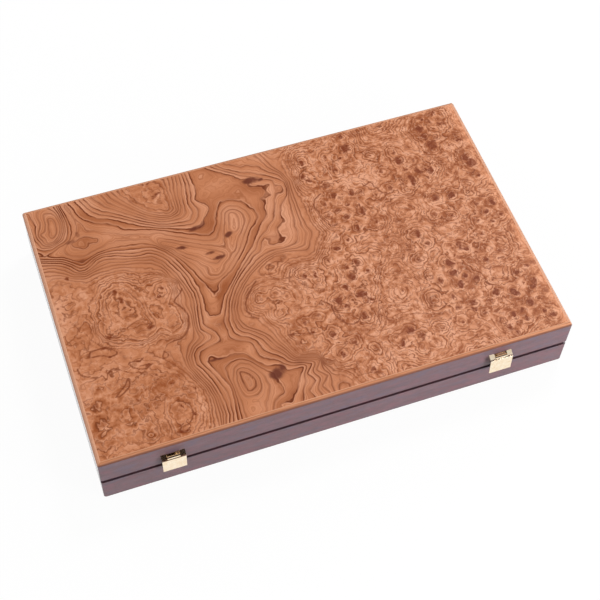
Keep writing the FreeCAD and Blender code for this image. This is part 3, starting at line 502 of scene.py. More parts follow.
# The burl veneer's colours: the wood from dark to light, then what is drawn on it.
BURL_WOOD = ((0.2, (0.30, 0.082, 0.025)), (0.5, (0.510, 0.196, 0.090)), (0.8, (0.665, 0.312, 0.182)))
RING_SHADE = (0.26, 0.066, 0.019)
RING_GLOW = (0.69, 0.34, 0.205)
RING_LINE = (0.15, 0.030, 0.007)
THIN_LINE = (0.27, 0.078, 0.026)
DARK_THREAD = (0.30, 0.090, 0.032)
PALE_THREAD = (0.70, 0.34, 0.20)
DARK_SPECK = (0.21, 0.046, 0.012)
PALE_SPECK = (0.75, 0.40, 0.25)
BLOTCH = (0.175, 0.032, 0.007)
STROKE = (0.17, 0.036, 0.011)
KNOT = (0.125, 0.026, 0.012)
WARM_END = (0.82, 0.34, 0.17)
PORE = (0.2, 0.07, 0.035)
# The rings between which plain wood turns to burl, and how far apart the rings round the eyes are.
BURL_STARTS, BURL_FULL = 5.5, 9.0
RING_SPACING = 3.0
# Which way the lines stray: a fixed seed, so that every sheet comes out the same.
STRAY_SEED = 3


def along_line(points, step):
    """Points of the broken line, no further apart than the step."""
    spread = [points[0]]
    for (x0, y0), (x1, y1) in zip(points, points[1:]):
        count = max(1, math.ceil(math.hypot(x1 - x0, y1 - y0) / step))
        spread += [(x0 + (x1 - x0) * i / count, y0 + (y1 - y0) * i / count) for i in range(1, count + 1)]
    return spread


def growth_at(places):
    """The ring number at each place in millimetres, spread smoothly between the growth lines."""
    found = {}
    for ring, points in GROWTH_LINES:
        for point in along_line(points, GROWTH_STEP):
            found.setdefault((round(point[0], 1), round(point[1], 1)), ring)
    known = numpy.array(list(found), dtype=float)
    rings = numpy.array(list(found.values()))
    apart = numpy.hypot(*(known[:, None] - known[None]).transpose(2, 0, 1))
    pull = numpy.linalg.solve(apart + GROWTH_SLACK * numpy.eye(len(known)), rings - rings.mean())
    growth = numpy.empty(len(places))
    for start in range(0, len(places), BLOCK):
        block = slice(start, start + BLOCK)
        away = numpy.hypot(*(places[block, None] - known[None]).transpose(2, 0, 1))
        growth[block] = away @ pull + rings.mean()
    return growth


def strayed(places, size, reach):
    """The places pushed about by up to the reach, in patches of the given size."""
    push = [noise.noise_vector((x / size, y / size, size))[:2] for x, y in places]
    return places + reach * numpy.array(push)


def buds_at(places, width):
    """How far each place is from the eyes, in millimetres, with eyes nearer to each other than the
    width counted together."""
    eyes = numpy.array(EYES, dtype=float)
    away = numpy.hypot(*(places[:, None] - eyes[None, :, :2]).transpose(2, 0, 1)) - eyes[:, 2]
    return -width * numpy.log(numpy.exp(-away / width).sum(axis=1))


def hearts_at(places):
    """How dark the eyes' hearts are at each place: deep in some eyes and faint in others."""
    eyes = numpy.array(EYES, dtype=float)
    depth = 0.3 + 0.7 * (numpy.arange(len(eyes)) * 0.618 % 1.0)
    depth *= numpy.clip((eyes[:, 0] + 80.0) / 120.0, 0.4, 1.0)
    away = numpy.hypot(*(places[:, None] - eyes[None, :, :2]).transpose(2, 0, 1)) / eyes[:, 2]
    return (depth * numpy.exp(-(away / 0.62) ** 2)).max(axis=1)


def painted_eye_shading_at(places):
    """Painted relief shading round the eyes: above 0, a painted highlight, at their front right, and below 0,
    painted shade, at their back left.
    """
    side = numpy.zeros(len(places))
    for x, y, radius in EYES:
        right, up = (places[:, 0] - x) / radius, (places[:, 1] - y) / radius
        side += (right - up) * numpy.exp(-(right * right + up * up) * 0.9)
    return side


def strokes_at(places):
    """How near the single dark lines each place is: their strength on them, 0 from 2 mm away."""
    shown = numpy.zeros(len(places))
    for strength, points in STROKES:
        for (x0, y0), (x1, y1) in zip(points, points[1:]):
            near = numpy.abs(places - (x0, y0)).sum(axis=1) < abs(x1 - x0) + abs(y1 - y0) + 4.0
            right, up = places[near, 0] - x0, places[near, 1] - y0
            run, rise = x1 - x0, y1 - y0
            share = numpy.clip((right * run + up * rise) / (run * run + rise * rise), 0.0, 1.0)
            away = numpy.hypot(right - share * run, up - share * rise)
            shown[near] = numpy.maximum(shown[near], strength * numpy.clip(1.0 - away / 2.0, 0.0, 1.0))
    return shown


def patches_at(places, patches):
    """How strongly the patches show at each place, the strongest first; each has a middle, half
    sizes, a turn in degrees and a strength."""
    shown = numpy.zeros(len(places))
    for x, y, half_x, half_y, turn, strength in patches:
        cos, sin = math.cos(math.radians(turn)), math.sin(math.radians(turn))
        right, up = places[:, 0] - x, places[:, 1] - y
        out = numpy.hypot((right * cos + up * sin) / half_x, (up * cos - right * sin) / half_y)
        part = strength * numpy.clip(1.5 - out, 0.0, 1.0)
        shown = numpy.where(numpy.abs(part) > numpy.abs(shown), part, shown)
    return shown


def sheet_blank():
    """The lid's veneer sheet, divided finely on its face and with a plain back."""
    low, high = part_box("lid_burl_veneer")
    length, width, thickness = (high[i] - low[i] for i in range(3))
    bpy.ops.object.select_all(action="DESELECT")
    bpy.ops.mesh.primitive_grid_add(x_subdivisions=round(length / MM / VENEER_STEP),
                                    y_subdivisions=round(width / MM / VENEER_STEP),
                                    size=1.0, location=(0, 0, low[2]))
    sheet = bpy.context.object
    sheet.name = "lid_burl_face"
    sheet.scale = (length, width, 1.0)
    bpy.ops.object.transform_apply(location=True, rotation=True, scale=True)
    bpy.ops.object.mode_set(mode="EDIT")
    bpy.ops.mesh.select_all(action="SELECT")
    bpy.ops.mesh.extrude_region_move(TRANSFORM_OT_translate={"value": (0, 0, thickness)})
    bpy.ops.mesh.select_all(action="DESELECT")
    bpy.ops.object.mode_set(mode="OBJECT")
    for face in sheet.data.polygons:
        face.select = abs(face.normal.z) > 0.5 and face.center.z < low[2] + thickness / 2
    bpy.ops.object.mode_set(mode="EDIT")
    bpy.ops.mesh.dissolve_faces()
    bpy.ops.mesh.select_all(action="SELECT")
    bpy.ops.mesh.normals_make_consistent(inside=False)
    bpy.ops.object.mode_set(mode="OBJECT")
    return sheet


def figure_at(places):
    """The figure at each place of a full grid, in millimetres, with the painted relief shading round the
    eyes: its parts by name.
    """
    noise.seed_set(STRAY_SEED)
    growth = growth_at(places)
    burl = numpy.clip((growth - BURL_STARTS) / (BURL_FULL - BURL_STARTS), 0.0, 1.0)
    loose = strayed(strayed(places, 30.0, 5.0), 9.0, 1.8)
    lively = numpy.clip((places[:, 0] + 120.0) / 80.0, 0.35, 1.0)
    rings = 3.0 - (buds_at(loose, 1.5) * 0.55 + buds_at(loose, 6.0) * 0.45) / RING_SPACING
    growth += burl * rings * lively
    rows = len(numpy.unique(places[:, 0]))
    across, along = numpy.gradient(growth.reshape(rows, -1), VENEER_STEP)
    ragged = strayed(strayed(places, 9.0, 2.0), 4.0, 1.4)
    blotches = numpy.maximum(patches_at(ragged, BLOTCHES), hearts_at(ragged))
    return {"growth": growth, "steep": numpy.hypot(across, along).ravel(), "burl": burl,
            # side is painted relief shading round the eyes, not part of the wood's figure
            "side": painted_eye_shading_at(ragged), "blotches": blotches,
            "strokes": strokes_at(strayed(places, 7.0, 0.8)),
            "knots": patches_at(places, KNOTS), "tones": patches_at(places, TONES)}


def burl_sheet():
    """The lid's veneer sheet, which carries the figure from point to point."""
    sheet = sheet_blank()
    mesh = sheet.data
    spots = numpy.empty(len(mesh.vertices) * 3)
    mesh.vertices.foreach_get("co", spots)
    places, spread = numpy.unique((spots.reshape(-1, 3)[:, :2] / MM).round(2), axis=0, return_inverse=True)
    for part, values in figure_at(places).items():
        mesh.attributes.new(part, "FLOAT", "POINT").data.foreach_set("value", values[spread.ravel()])
    return sheet


def turned_over(sheet):
    """The base's sheet: the next leaf of the same veneer, turned over onto the underside."""
    bpy.ops.object.select_all(action="DESELECT")
    sheet.select_set(True)
    bpy.context.view_layer.objects.active = sheet
    bpy.ops.object.duplicate()
    leaf = bpy.context.object
    leaf.name = "base_burl_face"
    low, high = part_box("base_burl_veneer")
    middle = (low[2] + high[2]) / 2 + sum(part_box("lid_burl_veneer")[i][2] for i in (0, 1)) / 2
    leaf.rotation_euler = (math.pi, 0, 0)
    leaf.location = (0, 0, middle)
    bpy.ops.object.transform_apply(location=True, rotation=True, scale=True)
    return leaf


class BurlVeneer(Finish):
    """The burl veneer's finish, drawn from the figure that its sheet carries."""

    def __init__(self, name, flip):
        super().__init__(name, Roughness=0.4, Specular_IOR_Level=0.1)
        self.growth, self.steep = self.carried("growth"), self.carried("steep")
        # side is painted relief shading round the eyes: a painted highlight at their front right, painted
        # shade at their back left
        self.burl, self.side = self.carried("burl"), self.carried("side")
        self.blotches, self.strokes = self.carried("blotches"), self.carried("strokes")
        self.knots, self.tones = self.carried("knots"), self.carried("tones")
        # flip is -1 on the sheet that is turned over, whose noise then mirrors the lid's
        self.flat = self.vector("MULTIPLY", self.mm, (1.0, flip, 0.0))
        place = self.stray(self.stray(self.flat, 20.0, 5.0, 1.0), 7.0, 1.6, 1.0)
        self.fine = self.noise(place, 6.0, 1.0, 0.5) - 0.5
        self.mottle = self.noise(place, 8.0, 2.0, 0.55) - 0.5
        self.broad = self.noise(place, 16.0, 2.0, 0.6) - 0.5
        self.specks = self.noise(place, 3.4, 2.0, 0.6)
        # the burls grow livelier towards the right, and busy in places
        self.length = self.axis(self.mm, "X")
        self.lively = self.length.above(-60.0, 80.0) * (self.length.above(130.0, 190.0) * 0.3 + 0.8)
        self.busy = self.noise(self.flat, 32.0, 1.0).above(0.42, 0.56) * self.lively
        self.grit = (self.noise(place, 2.8, 2.0, 0.6) - 0.5) * self.burl

    def carried(self, part):
        """One part of the figure, as the sheet carries it."""
        return self.node("ShaderNodeAttribute", {"attribute_name": part}, None, "Fac")

    def wander(self):
        """Lets the rings wander a little everywhere, and more in the burls."""
        sway = self.noise(self.flat, 15.0, 2.0) - 0.5
        self.growth = self.growth + sway * 0.9 + self.burl * self.fine * 2.0
        self.growth = self.growth + self.grit * (self.lively * 0.6 + self.busy * 0.8)

    def wood(self):
        """The wood's colour between the lines, with painted relief shading round the eyes."""
        band = self.noise_1d(self.growth * 0.7, 2.0)
        cloud = self.noise(self.flat, 50.0, 2.0)
        # side adds painted relief shading round the eyes to the tone, here and below; mottle and broad are
        # the wood's own tone
        lively_tone_and_eye_shading = self.mottle * 0.5 + self.broad * 0.9 + self.side * 0.26 - 0.04
        tone = band * 0.75 + cloud * 0.75 - 0.25 + self.tones * 0.25
        tone = tone + self.burl * (self.mottle * 0.9 + self.side * 0.24)
        tone = tone + self.grit * (self.lively * 0.35 + self.busy * 0.45)
        tone = tone + self.burl * self.lively * lively_tone_and_eye_shading
        return self.ramp(tone, *BURL_WOOD)

    def ringed(self, colour):
        """The colour with a line at each whole ring, in shade on one side and aglow on the other, and
        the line itself."""
        slope = (self.steep * self.steep + self.burl * 0.02 + 0.006).op("SQRT")
        step = self.growth + 0.5
        part, key = step.op("FRACT") - 0.5, step.op("FLOOR")
        luck = self.node("ShaderNodeTexWhiteNoise", {"noise_dimensions": "1D"}, {"W": key + 3.0}, "Value")
        line = (abs(part) / slope + self.burl * self.lively * 0.15).above(0.9, 0.25)
        shade = part.above(-0.5, 0.0) * part.above(0.02, -0.02)
        glow = (part / slope).above(2.4, 0.6) * part.above(0.0, 0.05)
        # the lines at the border of the plain wood are the darkest, and all of them fade in patches
        marked = abs(key - 0.5).above(2.2, 1.8) * (1 - self.burl)
        patch = self.noise(self.flat, 22.0, 2.0).above(0.35, 0.62)
        strength = (0.36 + luck * 0.36 + marked * 0.5) * (patch * 0.6 + 0.4)
        colour = self.blend(shade * strength * 0.5, colour, RING_SHADE)
        colour = self.blend(glow * strength * 0.5, colour, RING_GLOW)
        colour = self.threaded(colour, slope)
        return self.blend(line * (strength + self.burl * self.lively * 0.15), colour, RING_LINE), line

    def threaded(self, colour, slope):
        """The colour with the plain wood's thin lines, three to a ring, and finer threads still."""
        plain = 1 - self.burl
        thin = (abs((self.growth * 3.0).op("FRACT") - 0.5) / (slope * 3.0)).above(0.6, 0.15)
        threads = self.noise_1d(self.growth * 11.0, 2.0)
        colour = self.blend(thin * plain * 0.3, colour, THIN_LINE)
        colour = self.blend(threads.above(0.5, 0.75) * plain * 0.4, colour, DARK_THREAD)
        return self.blend(threads.above(0.5, 0.25) * plain * 0.3, colour, PALE_THREAD)

    def spotted(self, colour):
        """The colour with the burls' specks and blotches, the single lines and the knots."""
        dark, pale = self.specks.above(0.55, 0.72), self.specks.above(0.45, 0.3)
        colour = self.blend(dark * self.burl * (self.busy * 0.3 + 0.42), colour, DARK_SPECK)
        colour = self.blend(pale * self.burl * (self.lively * 0.15 + 0.3), colour, PALE_SPECK)
        # side adds a little painted shading round the eyes to the blotches; the rest is the burl's own dark
        # blotches
        soft = self.blotches + self.mottle * 1.1 + self.fine * 0.8 + self.side * 0.15
        soft = soft + self.lively * (self.burl * self.broad * 0.5 + self.grit * 0.9)
        colour = self.blend(soft.above(0.26, 0.86) * (self.grit * 1.2 + 0.92), colour, BLOTCH)
        inked = self.strokes + self.fine * 0.4
        colour = self.blend(inked.above(0.3, 0.75) * 0.8, colour, STROKE)
        ragged = self.knots + self.fine * 0.6 + self.mottle * 0.4
        return self.blend(ragged.above(0.25, 0.95) * 0.95, colour, KNOT)

    def drawn(self):
        """The finished material."""
        self.wander()
        colour, line = self.ringed(self.wood())
        colour = self.spotted(colour)
        colour = self.blend(self.length.above(225.0, 239.0) * (0.35 + self.mottle), colour, WARM_END)
        pores = self.noise(self.mm, 0.55, 2.0, 0.6)
        colour = self.blend(pores.above(0.56, 0.7) * 0.14, colour, PORE)
        rough = 0.38 + line * 0.08 + pores * 0.06
        return self.finish(colour, rough, pores * 0.25 - line * 0.5, 0.00006, 0.6)


def veneer_panels():
    """The two burl sheets, in the places of the plain ones."""
    lid = burl_sheet()
    for half, sheet, flip in (("lid", lid, 1.0), ("base", turned_over(lid), -1.0)):
        sheet.data.materials.append(BurlVeneer(half + "_burl", flip).drawn())
        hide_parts(half + "_burl_veneer")
        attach(sheet, half)


# ---- plain woods ----
# The groove along the seam, where the walls' colour is painted dark as shade: half its height and its depth,
# in millimetres.
GROOVE_HALF = 2.4
GROOVE_DEPTH = 2.0


def long_grain(m, along, stretch=16.0, place=None):
    """The place in millimetres, squeezed along the grain; along is "X" or "Y"."""
    squeeze = (1 / stretch, 1.0, 1.0) if along == "X" else (1.0, 1 / stretch, 1.0)
    return m.vector("MULTIPLY", place or m.mm, squeeze)


def dark_wood(name, along):
    m = Finish(name, Coat_Roughness=0.12, Specular_IOR_Level=0.4)
    # the lacquer turns to a mirror at a glancing look
    glance = m.node("ShaderNodeLayerWeight", None, {"Blend": 0.5}, "Facing")
    m.feed(m.shader.inputs["Coat Weight"], glance.above(0.85, 0.96) * 0.85 + 0.12)
    grain = long_grain(m, along, 6.0)
    fibre = m.noise(m.stray(grain, 6.0, 0.9), 1.2, 4.0, 0.65)
    bands = m.noise(grain, 5.0, 2.0)
    from_seam = m.axis(m.mm, "Z") - case_top / 2 / MM
    hue = m.noise(m.stray(long_grain(m, along, 2.5), 7.0, 2.5), 6.0, 4.0, 0.62) + from_seam * 0.0012
    pores = m.noise(long_grain(m, along, 9.0), 0.45, 1.0).above(0.62, 0.75)
    tone = fibre * 0.65 + bands * 0.35
    colour = m.ramp(tone, (0.3, (0.070, 0.033, 0.040)), (0.5, (0.102, 0.051, 0.062)),
                    (0.72, (0.145, 0.078, 0.092)))
    colour = m.blend(hue.above(0.50, 0.66) * 0.55, colour, (0.078, 0.056, 0.086))
    colour = m.blend(hue.above(0.50, 0.34) * 0.45, colour, (0.150, 0.048, 0.066))
    colour = m.blend(pores * 0.5, colour, (0.035, 0.017, 0.020))
    # painted shade: the groove of the seam is darkened nearly to black
    depth = abs(m.axis(m.mm, "X")) - case_length / 2 / MM
    depth = depth.op("MAXIMUM", abs(m.axis(m.mm, "Y")) - case_width / 2 / MM)
    painted_groove_shade = abs(from_seam).above(GROOVE_HALF + 0.1, GROOVE_HALF - 0.1)
    painted_groove_shade = painted_groove_shade * depth.above(-GROOVE_DEPTH - 0.4, -GROOVE_DEPTH - 0.1)
    colour = m.blend(painted_groove_shade * 0.7, colour, (0.02, 0.008, 0.010))
    rough = 0.38 + fibre * 0.16
    return m.finish(colour, rough, fibre * 0.6 - pores * 0.6, 0.00008, 0.5)


def edging_wood(name):
    """Mitred strips: a painted highlight along the joint with the veneer and on the end strips, and painted
    shade darker down to the joint with the walls.
    """
    m = Finish(name, Specular_IOR_Level=0.2)
    x, y = abs(m.axis(m.mm, "X")), abs(m.axis(m.mm, "Y"))
    reach = (case_length - case_width) / 2 / MM
    at_end = (x - y - reach).above(-0.05, 0.05)
    lengthways, crossways = long_grain(m, "X", 20.0), long_grain(m, "Y", 20.0)
    grain = m.node("ShaderNodeMix", {"data_type": "VECTOR"}, {0: at_end, 4: lengthways, 5: crossways}, 1)
    fibre = m.noise(grain, 1.1, 3.0, 0.6)
    bands = m.noise(grain, 3.2, 1.0)
    tone = fibre * 0.5 + bands * 0.5
    colour = m.ramp(tone, (0.32, (0.33, 0.120, 0.052)), (0.5, (0.44, 0.180, 0.088)),
                    (0.68, (0.55, 0.250, 0.135)))
    from_end, from_side = x - case_length / 2 / MM, y - case_width / 2 / MM
    inner = from_end.op("MAXIMUM", from_side) + edging_width / MM
    # painted highlight: paler within a millimetre of the veneer, where the flat top catches the light
    colour = m.blend(inner.above(1.1, 0.4) * 0.6, colour, (0.66, 0.34, 0.20))
    # painted highlight: the end strips paler, where their rounding catches the light
    colour = m.blend(at_end * 0.5, colour, (0.74, 0.40, 0.26))
    half_height = case_top / 2 / MM
    # painted shade: darker down the bevel to the joint with the walls, less on the end strips
    out = abs(m.axis(m.mm, "Z") - half_height).above(half_height - 0.2, half_height - 2.2)
    colour = m.blend(out * (0.9 - at_end * 0.55), colour, (0.12, 0.044, 0.028))
    return m.finish(colour, 0.45 + fibre * 0.1, fibre, 0.00004, 0.4)


def plain_veneer(name, along, dark, middle, light, size=2.4):
    """Straight-grained veneer in three tones."""
    m = Finish(name, Coat_Weight=0.25, Coat_Roughness=0.2)
    grain = m.stray(long_grain(m, along, 14.0), 14.0, 2.2)
    fibre = m.noise(grain, size, 3.0, 0.6)
    fine = m.noise(long_grain(m, along, 24.0), 0.35, 2.0, 0.6)
    tone = fibre * 0.75 + fine * 0.25
    colour = m.ramp(tone, (0.34, dark), (0.5, middle), (0.66, light))
    pores = fine.above(0.6, 0.72)
    colour = m.blend(pores * 0.3, colour, tuple(part * 0.45 for part in dark))
    return m.finish(colour, 0.36 + fine * 0.12, fine, 0.00004, 0.4)


# ---- playing pieces ----
CHECKERS = 15
CHECKER_GAP = 0.25
# How far a die's flat faces reach from their middles.
DIE_FLAT = 5.2
# The doubling cube's numbers: text, then the way its face looks and the way the number's head points.
NUMBERS = (("64", (0, 0, 1), (0, 1, 0)), ("2", (0, -1, 0), (0, 0, 1)), ("4", (1, 0, 0), (0, 0, 1)),
           ("8", (0, 1, 0), (1, 0, 0)), ("16", (-1, 0, 0), (0, 0, -1)), ("32", (0, 0, -1), (1, 0, 0)))
NUMBER_HEIGHT = 0.0135
NUMBER_RELIEF = 0.00004


def middle_of(name):
    low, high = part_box(name)
    return (low + high) / 2


def turned_wood(name, node, dark, middle, light):
    """Discs turned from a plank, each with its grain turned its own way and its own tone."""
    m = Finish(name, Coat_Weight=0.3, Coat_Roughness=0.15)
    low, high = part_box(node)
    pitch = ((high[0] - low[0]) / MM + CHECKER_GAP) / CHECKERS
    disc = ((m.axis(m.mm, "X") - low[0] / MM + CHECKER_GAP / 2) / pitch).op("FLOOR")
    luck = m.noise_1d(disc * 3.7)
    place = m.node("ShaderNodeVectorRotate", {"rotation_type": "X_AXIS"},
                   {"Vector": m.mm, "Center": tuple(middle_of(node) / MM), "Angle": luck * 25.0})
    place = m.vector("ADD", place, m.join(disc * 17.0, 0.0, disc * 31.0))
    grain = m.stray(long_grain(m, "Y", 9.0, place), 5.0, 0.8)
    fibre = m.noise(grain, 0.8, 3.0, 0.62)
    rings = m.noise(grain, 2.6, 2.0)
    pores = m.noise(long_grain(m, "Y", 7.0, place), 0.3, 1.0).above(0.62, 0.72)
    tone = fibre * 0.45 + rings * 0.55 + (luck - 0.5) * 0.5
    colour = m.ramp(tone, (0.3, dark), (0.5, middle), (0.7, light))
    colour = m.blend(pores * 0.4, colour, tuple(part * 0.5 for part in dark))
    return m.finish(colour, 0.3 + fibre * 0.15, fibre - pores * 0.5, 0.00004, 0.4)


def resin(name, node, pips):
    """Polished cream resin, a little worn and grimy at its edges; a die's sunk pips are painted."""
    m = Finish(name, Coat_Weight=0.35, Coat_Roughness=0.1)
    low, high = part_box(node)
    half = (high[0] - low[0]) / 2 / MM
    cloud = m.noise(m.stray(m.mm, 6.0, 3.0), 5.0, 3.0, 0.6)
    scuffs = m.noise(m.mm, 0.35, 3.0, 0.7)
    colour = m.ramp(cloud, (0.35, (0.70, 0.63, 0.50)), (0.65, (0.79, 0.74, 0.63)))
    place = m.vector("SUBTRACT", m.mm, tuple(middle_of(node) / MM))
    x, y, z = (abs(m.axis(place, letter)) for letter in "XYZ")
    most = x.op("MAXIMUM", y).op("MAXIMUM", z)
    second = x + y + z - most - x.op("MINIMUM", y).op("MINIMUM", z)
    colour = m.blend(second.above(half * 0.8, half) * scuffs, colour, (0.50, 0.40, 0.27))
    rough = 0.22 + scuffs * 0.16
    if pips:
        sunk = (half - most).above(0.02, 0.07) * second.above(DIE_FLAT + 0.15, DIE_FLAT)
        colour = m.blend(sunk, colour, (0.022, 0.018, 0.017))
        rough = rough + sunk * 0.15
    return m.finish(colour, rough, scuffs, 0.00002, 0.25)


def number_paint():
    m = Finish("number_paint", Specular_IOR_Level=0.5)
    wear = m.noise(m.mm, 0.5, 3.0, 0.65)
    colour = m.ramp(wear, (0.4, (0.020, 0.017, 0.017)), (0.7, (0.055, 0.046, 0.042)))
    return m.finish(colour, 0.35 + wear * 0.2, wear, 0.00002, 0.3)


def painted_number(text, place, out, up):
    """One number on the face that looks out, with its head pointing up."""
    bpy.ops.object.select_all(action="DESELECT")
    bpy.ops.object.text_add(location=(0, 0, 0))
    letters = bpy.context.object.data
    letters.body = text
    letters.align_x, letters.align_y = "CENTER", "CENTER"
    letters.size = NUMBER_HEIGHT
    letters.extrude = NUMBER_RELIEF
    letters.resolution_u = 6
    bpy.ops.object.convert(target="MESH")
    number = bpy.context.object
    bpy.ops.object.mode_set(mode="EDIT")
    bpy.ops.mesh.select_all(action="SELECT")
    bpy.ops.mesh.remove_doubles(threshold=0.000002)
    bpy.ops.mesh.normals_make_consistent(inside=False)
    bpy.ops.object.mode_set(mode="OBJECT")
    turn = Matrix((up.cross(out), up, out)).transposed().to_4x4()
    number.matrix_world = Matrix.Translation(place) @ turn
    bpy.ops.object.transform_apply(location=True, rotation=True, scale=True)
    return number


def cube_numbers(node):
    """The six numbers, each a thin skin of paint on its face of the cube."""
    low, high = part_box(node)
    half = (high[0] - low[0]) / 2
    painted = [painted_number(text, middle_of(node) + Vector(face) * half, Vector(face), Vector(head))
               for text, face, head in NUMBERS]
    for number in painted:
        number.select_set(True)
    bpy.ops.object.join()
    numbers = bpy.context.object
    numbers.name = numbers.data.name = "doubling_cube_numbers"
    numbers.data.materials.append(number_paint())
    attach(numbers, "doubling_cube")


# ---- brass ----
def brass(name, rough=0.07, pale=(1.0, 0.86, 0.66), deep=(0.95, 0.75, 0.51)):
    m = Finish(name, Metallic=1.0)
    wear = m.noise(m.mm, 4.0, 3.0, 0.6)
    brushed = m.noise(long_grain(m, "X", 30.0), 0.12, 2.0, 0.6)
    colour = m.ramp(wear, (0.35, deep), (0.62, pale))
    return m.finish(colour, rough + wear * 0.08 + brushed * 0.04, brushed, 0.00001, 0.12)


# ---- stage ----
# The camera: its place, its turn in degrees and its lens in millimetres.
CAMERA_PLACE = (-0.2701, -0.7015, 1.1733)
CAMERA_TURN = (32.814, -1.520, -19.467)
CAMERA_LENS = 79.57
# The floor's own white, and how far it is shown as plain white.
FLOOR_WHITE = 0.92
FLOOR_GLOW = 0.95
# The sky's strength in its bright band and in its dim ceiling, and the ceiling's tint.
SKY_BRIGHT = 1.7
SKY_DARK = 0.03
SKY_BROWN = (1.0, 0.45, 0.28)
# The way from the set to the studio's small bright panel.
PANEL = (0.39, -0.50, 0.78)
PANEL_BRIGHT = 1.2
# The lamps: place, aim, size and power.
KEY_LAMP = ((0.85, 0.7, 1.75), (0, 0, 0), 0.6, 18.0)
FILL_LAMP = ((0.6, -0.9, 0.22), (0, -0.15, 0.04), 0.4, 7.0)


def camera():
    data = bpy.data.cameras.new("camera")
    data.lens = CAMERA_LENS
    data.sensor_width = 36.0
    data.clip_start = 0.01
    holder = bpy.data.objects.new("camera", data)
    bpy.context.scene.collection.objects.link(holder)
    holder.location = CAMERA_PLACE
    holder.rotation_euler = [math.radians(angle) for angle in CAMERA_TURN]
    bpy.context.scene.camera = holder


def lamp(name, place, aim, size, power, mirrored=True):
    data = bpy.data.lights.new(name, "AREA")
    data.shape = "DISK"
    data.size = size
    data.energy = power
    holder = bpy.data.objects.new(name, data)
    bpy.context.scene.collection.objects.link(holder)
    holder.location = place
    holder.rotation_euler = (Vector(aim) - Vector(place)).to_track_quat("-Z", "Y").to_euler()
    holder.visible_glossy = mirrored


def shown_white(nodes):
    """1 to the camera and in what metal and glass show, 0 to the light that falls on the set."""
    camera_ray, glossy_ray, clear_ray = (nodes.node("ShaderNodeLightPath", output=ray) for ray in
                                         ("Is Camera Ray", "Is Glossy Ray", "Is Transmission Ray"))
    return camera_ray.op("MAXIMUM", glossy_ray).op("MAXIMUM", clear_ray)


def floor():
    bpy.ops.object.select_all(action="DESELECT")
    bpy.ops.mesh.primitive_plane_add(size=12.0, location=(0, 0, -0.0005))
    sheet = bpy.context.object
    sheet.name = "studio_floor"
    bpy.ops.object.transform_apply(location=True, rotation=True, scale=True)
    m = Finish("studio_white", Roughness=0.8)
    m.shader.inputs["Base Color"].default_value = opaque((FLOOR_WHITE,) * 3)
    glow = m.node("ShaderNodeEmission", None, {"Strength": 1.0})
    own = Value(m, m.shader.outputs[0])
    mixed = m.node("ShaderNodeMixShader", None, {0: shown_white(m) * FLOOR_GLOW, 1: own, 2: glow})
    m.feed(m.tree.nodes["Material Output"].inputs["Surface"], mixed)
    sheet.data.materials.append(m.material)


def sky():
    """White to the camera. The set is lit from a bright band above the horizon and a small panel in
    the dim brown ceiling."""
    world = bpy.data.worlds.new("studio")
    world.use_nodes = True
    bpy.context.scene.world = world
    world.node_tree.nodes.clear()
    w = Nodes(world.node_tree)
    way = w.node("ShaderNodeTexCoord", output="Generated")
    band = w.axis(way, "Z").above(0.72, 0.52)
    panel = w.vector("DOT_PRODUCT", way, PANEL, output="Value").above(0.975, 0.99)
    level = band * (SKY_BRIGHT - SKY_DARK) + SKY_DARK + panel * PANEL_BRIGHT
    mirrored = w.node("ShaderNodeLightPath", output="Is Glossy Ray")
    level = level * (1 - mirrored * 0.4)
    seen = w.node("ShaderNodeLightPath", output="Is Camera Ray")
    white = w.node("ShaderNodeBackground", None, {"Color": opaque((1.0,) * 3), "Strength": 1.0})
    tint = w.blend(level.above(SKY_DARK, SKY_DARK * 8), SKY_BROWN, (1.0,) * 3)
    light = w.node("ShaderNodeBackground", None, {"Color": tint, "Strength": level})
    mixed = w.node("ShaderNodeMixShader", None, {0: seen, 1: light, 2: white})
    w.node("ShaderNodeOutputWorld", None, {"Surface": mixed}, None)


def studio():
    bpy.context.scene.view_settings.view_transform = "Standard"
    sky()
    lamp("key", *KEY_LAMP)
    lamp("fill", *FILL_LAMP, mirrored=False)
    floor()
    camera()


# ---- the set ----
def dress(material, *names):
    for name in names:
        piece = nodes[name]
        piece.data.materials.clear()
        piece.data.materials.append(material)


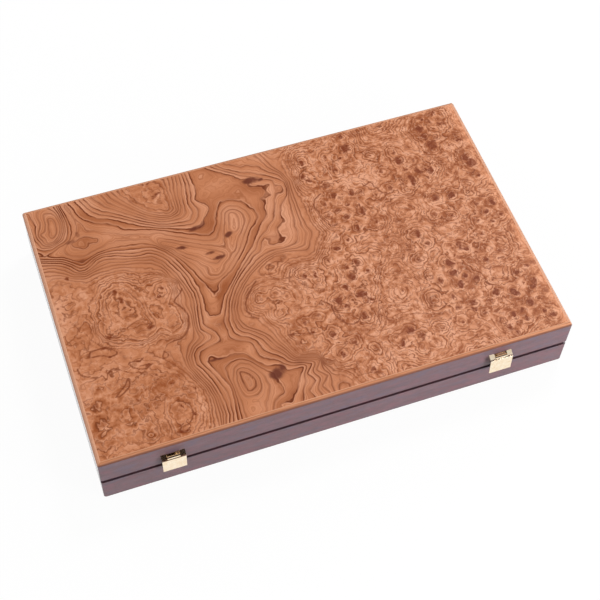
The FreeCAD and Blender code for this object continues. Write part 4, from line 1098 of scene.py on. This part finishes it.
def dress_case():
    veneer_panels()
    dress(edging_wood("edging"), "lid_edging", "base_edging")
    lengthways, crossways = dark_wood("dark_wood_long", "X"), dark_wood("dark_wood_cross", "Y")
    for half in ("base_", "lid_"):
        dress(lengthways, half + "front_wall", half + "back_wall", half + "rack_divider")
        dress(crossways, half + "left_wall", half + "right_wall")
    dress(crossways, "rack_partitions")
    board = plain_veneer("board", "X", (0.30, 0.20, 0.11), (0.38, 0.26, 0.15), (0.45, 0.31, 0.18))
    field = plain_veneer("field", "X", (0.24, 0.10, 0.045), (0.33, 0.15, 0.07), (0.42, 0.20, 0.10), 3.2)
    dark = plain_veneer("dark_inlay", "X", (0.030, 0.016, 0.012), (0.050, 0.027, 0.020),
                        (0.080, 0.045, 0.034))
    light = plain_veneer("light_inlay", "X", (0.52, 0.36, 0.20), (0.62, 0.45, 0.27), (0.70, 0.53, 0.34))
    for half in ("base_", "lid_"):
        dress(board, half + "panel_board", half + "field_board")
        dress(field, half + "field_veneer")
        dress(dark, half + "dark_points")
        dress(light, half + "light_points")


def dress_hardware():
    bright, small = brass("brass"), brass("brass_fixings", 0.15)
    # The latch pins' brass is painted darker: painted shade standing in for the dark reflections on them.
    dark_painted_pin_brass = brass("brass_painted_dark", 0.16, (0.62, 0.42, 0.24), (0.42, 0.26, 0.14))
    for side in ("left_", "right_"):
        dress(bright, side + "latch_flap", side + "latch_bracket", side + "latch_keeper",
              side + "hinge_base_leaf", side + "hinge_lid_leaf", side + "hinge_pin")
        dress(dark_painted_pin_brass, side + "latch_pin")
    dress(small, "base_hinge_screws", "lid_hinge_screws", "latch_bracket_brads", "latch_keeper_brads")


def dress_playing_pieces():
    light = turned_wood("light_piece", "light_checkers", (0.50, 0.33, 0.17), (0.62, 0.44, 0.25),
                        (0.70, 0.52, 0.32))
    dark = turned_wood("dark_piece", "dark_checkers", (0.045, 0.020, 0.014), (0.075, 0.036, 0.024),
                       (0.12, 0.06, 0.04))
    dress(light, "light_checkers")
    dress(dark, "dark_checkers")
    for die in ("die_1", "die_2"):
        dress(resin(die + "_resin", die, True), die)
    dress(resin("cube_resin", "doubling_cube", False), "doubling_cube")
    cube_numbers("doubling_cube")


studio()
dress_case()
dress_hardware()
dress_playing_pieces()
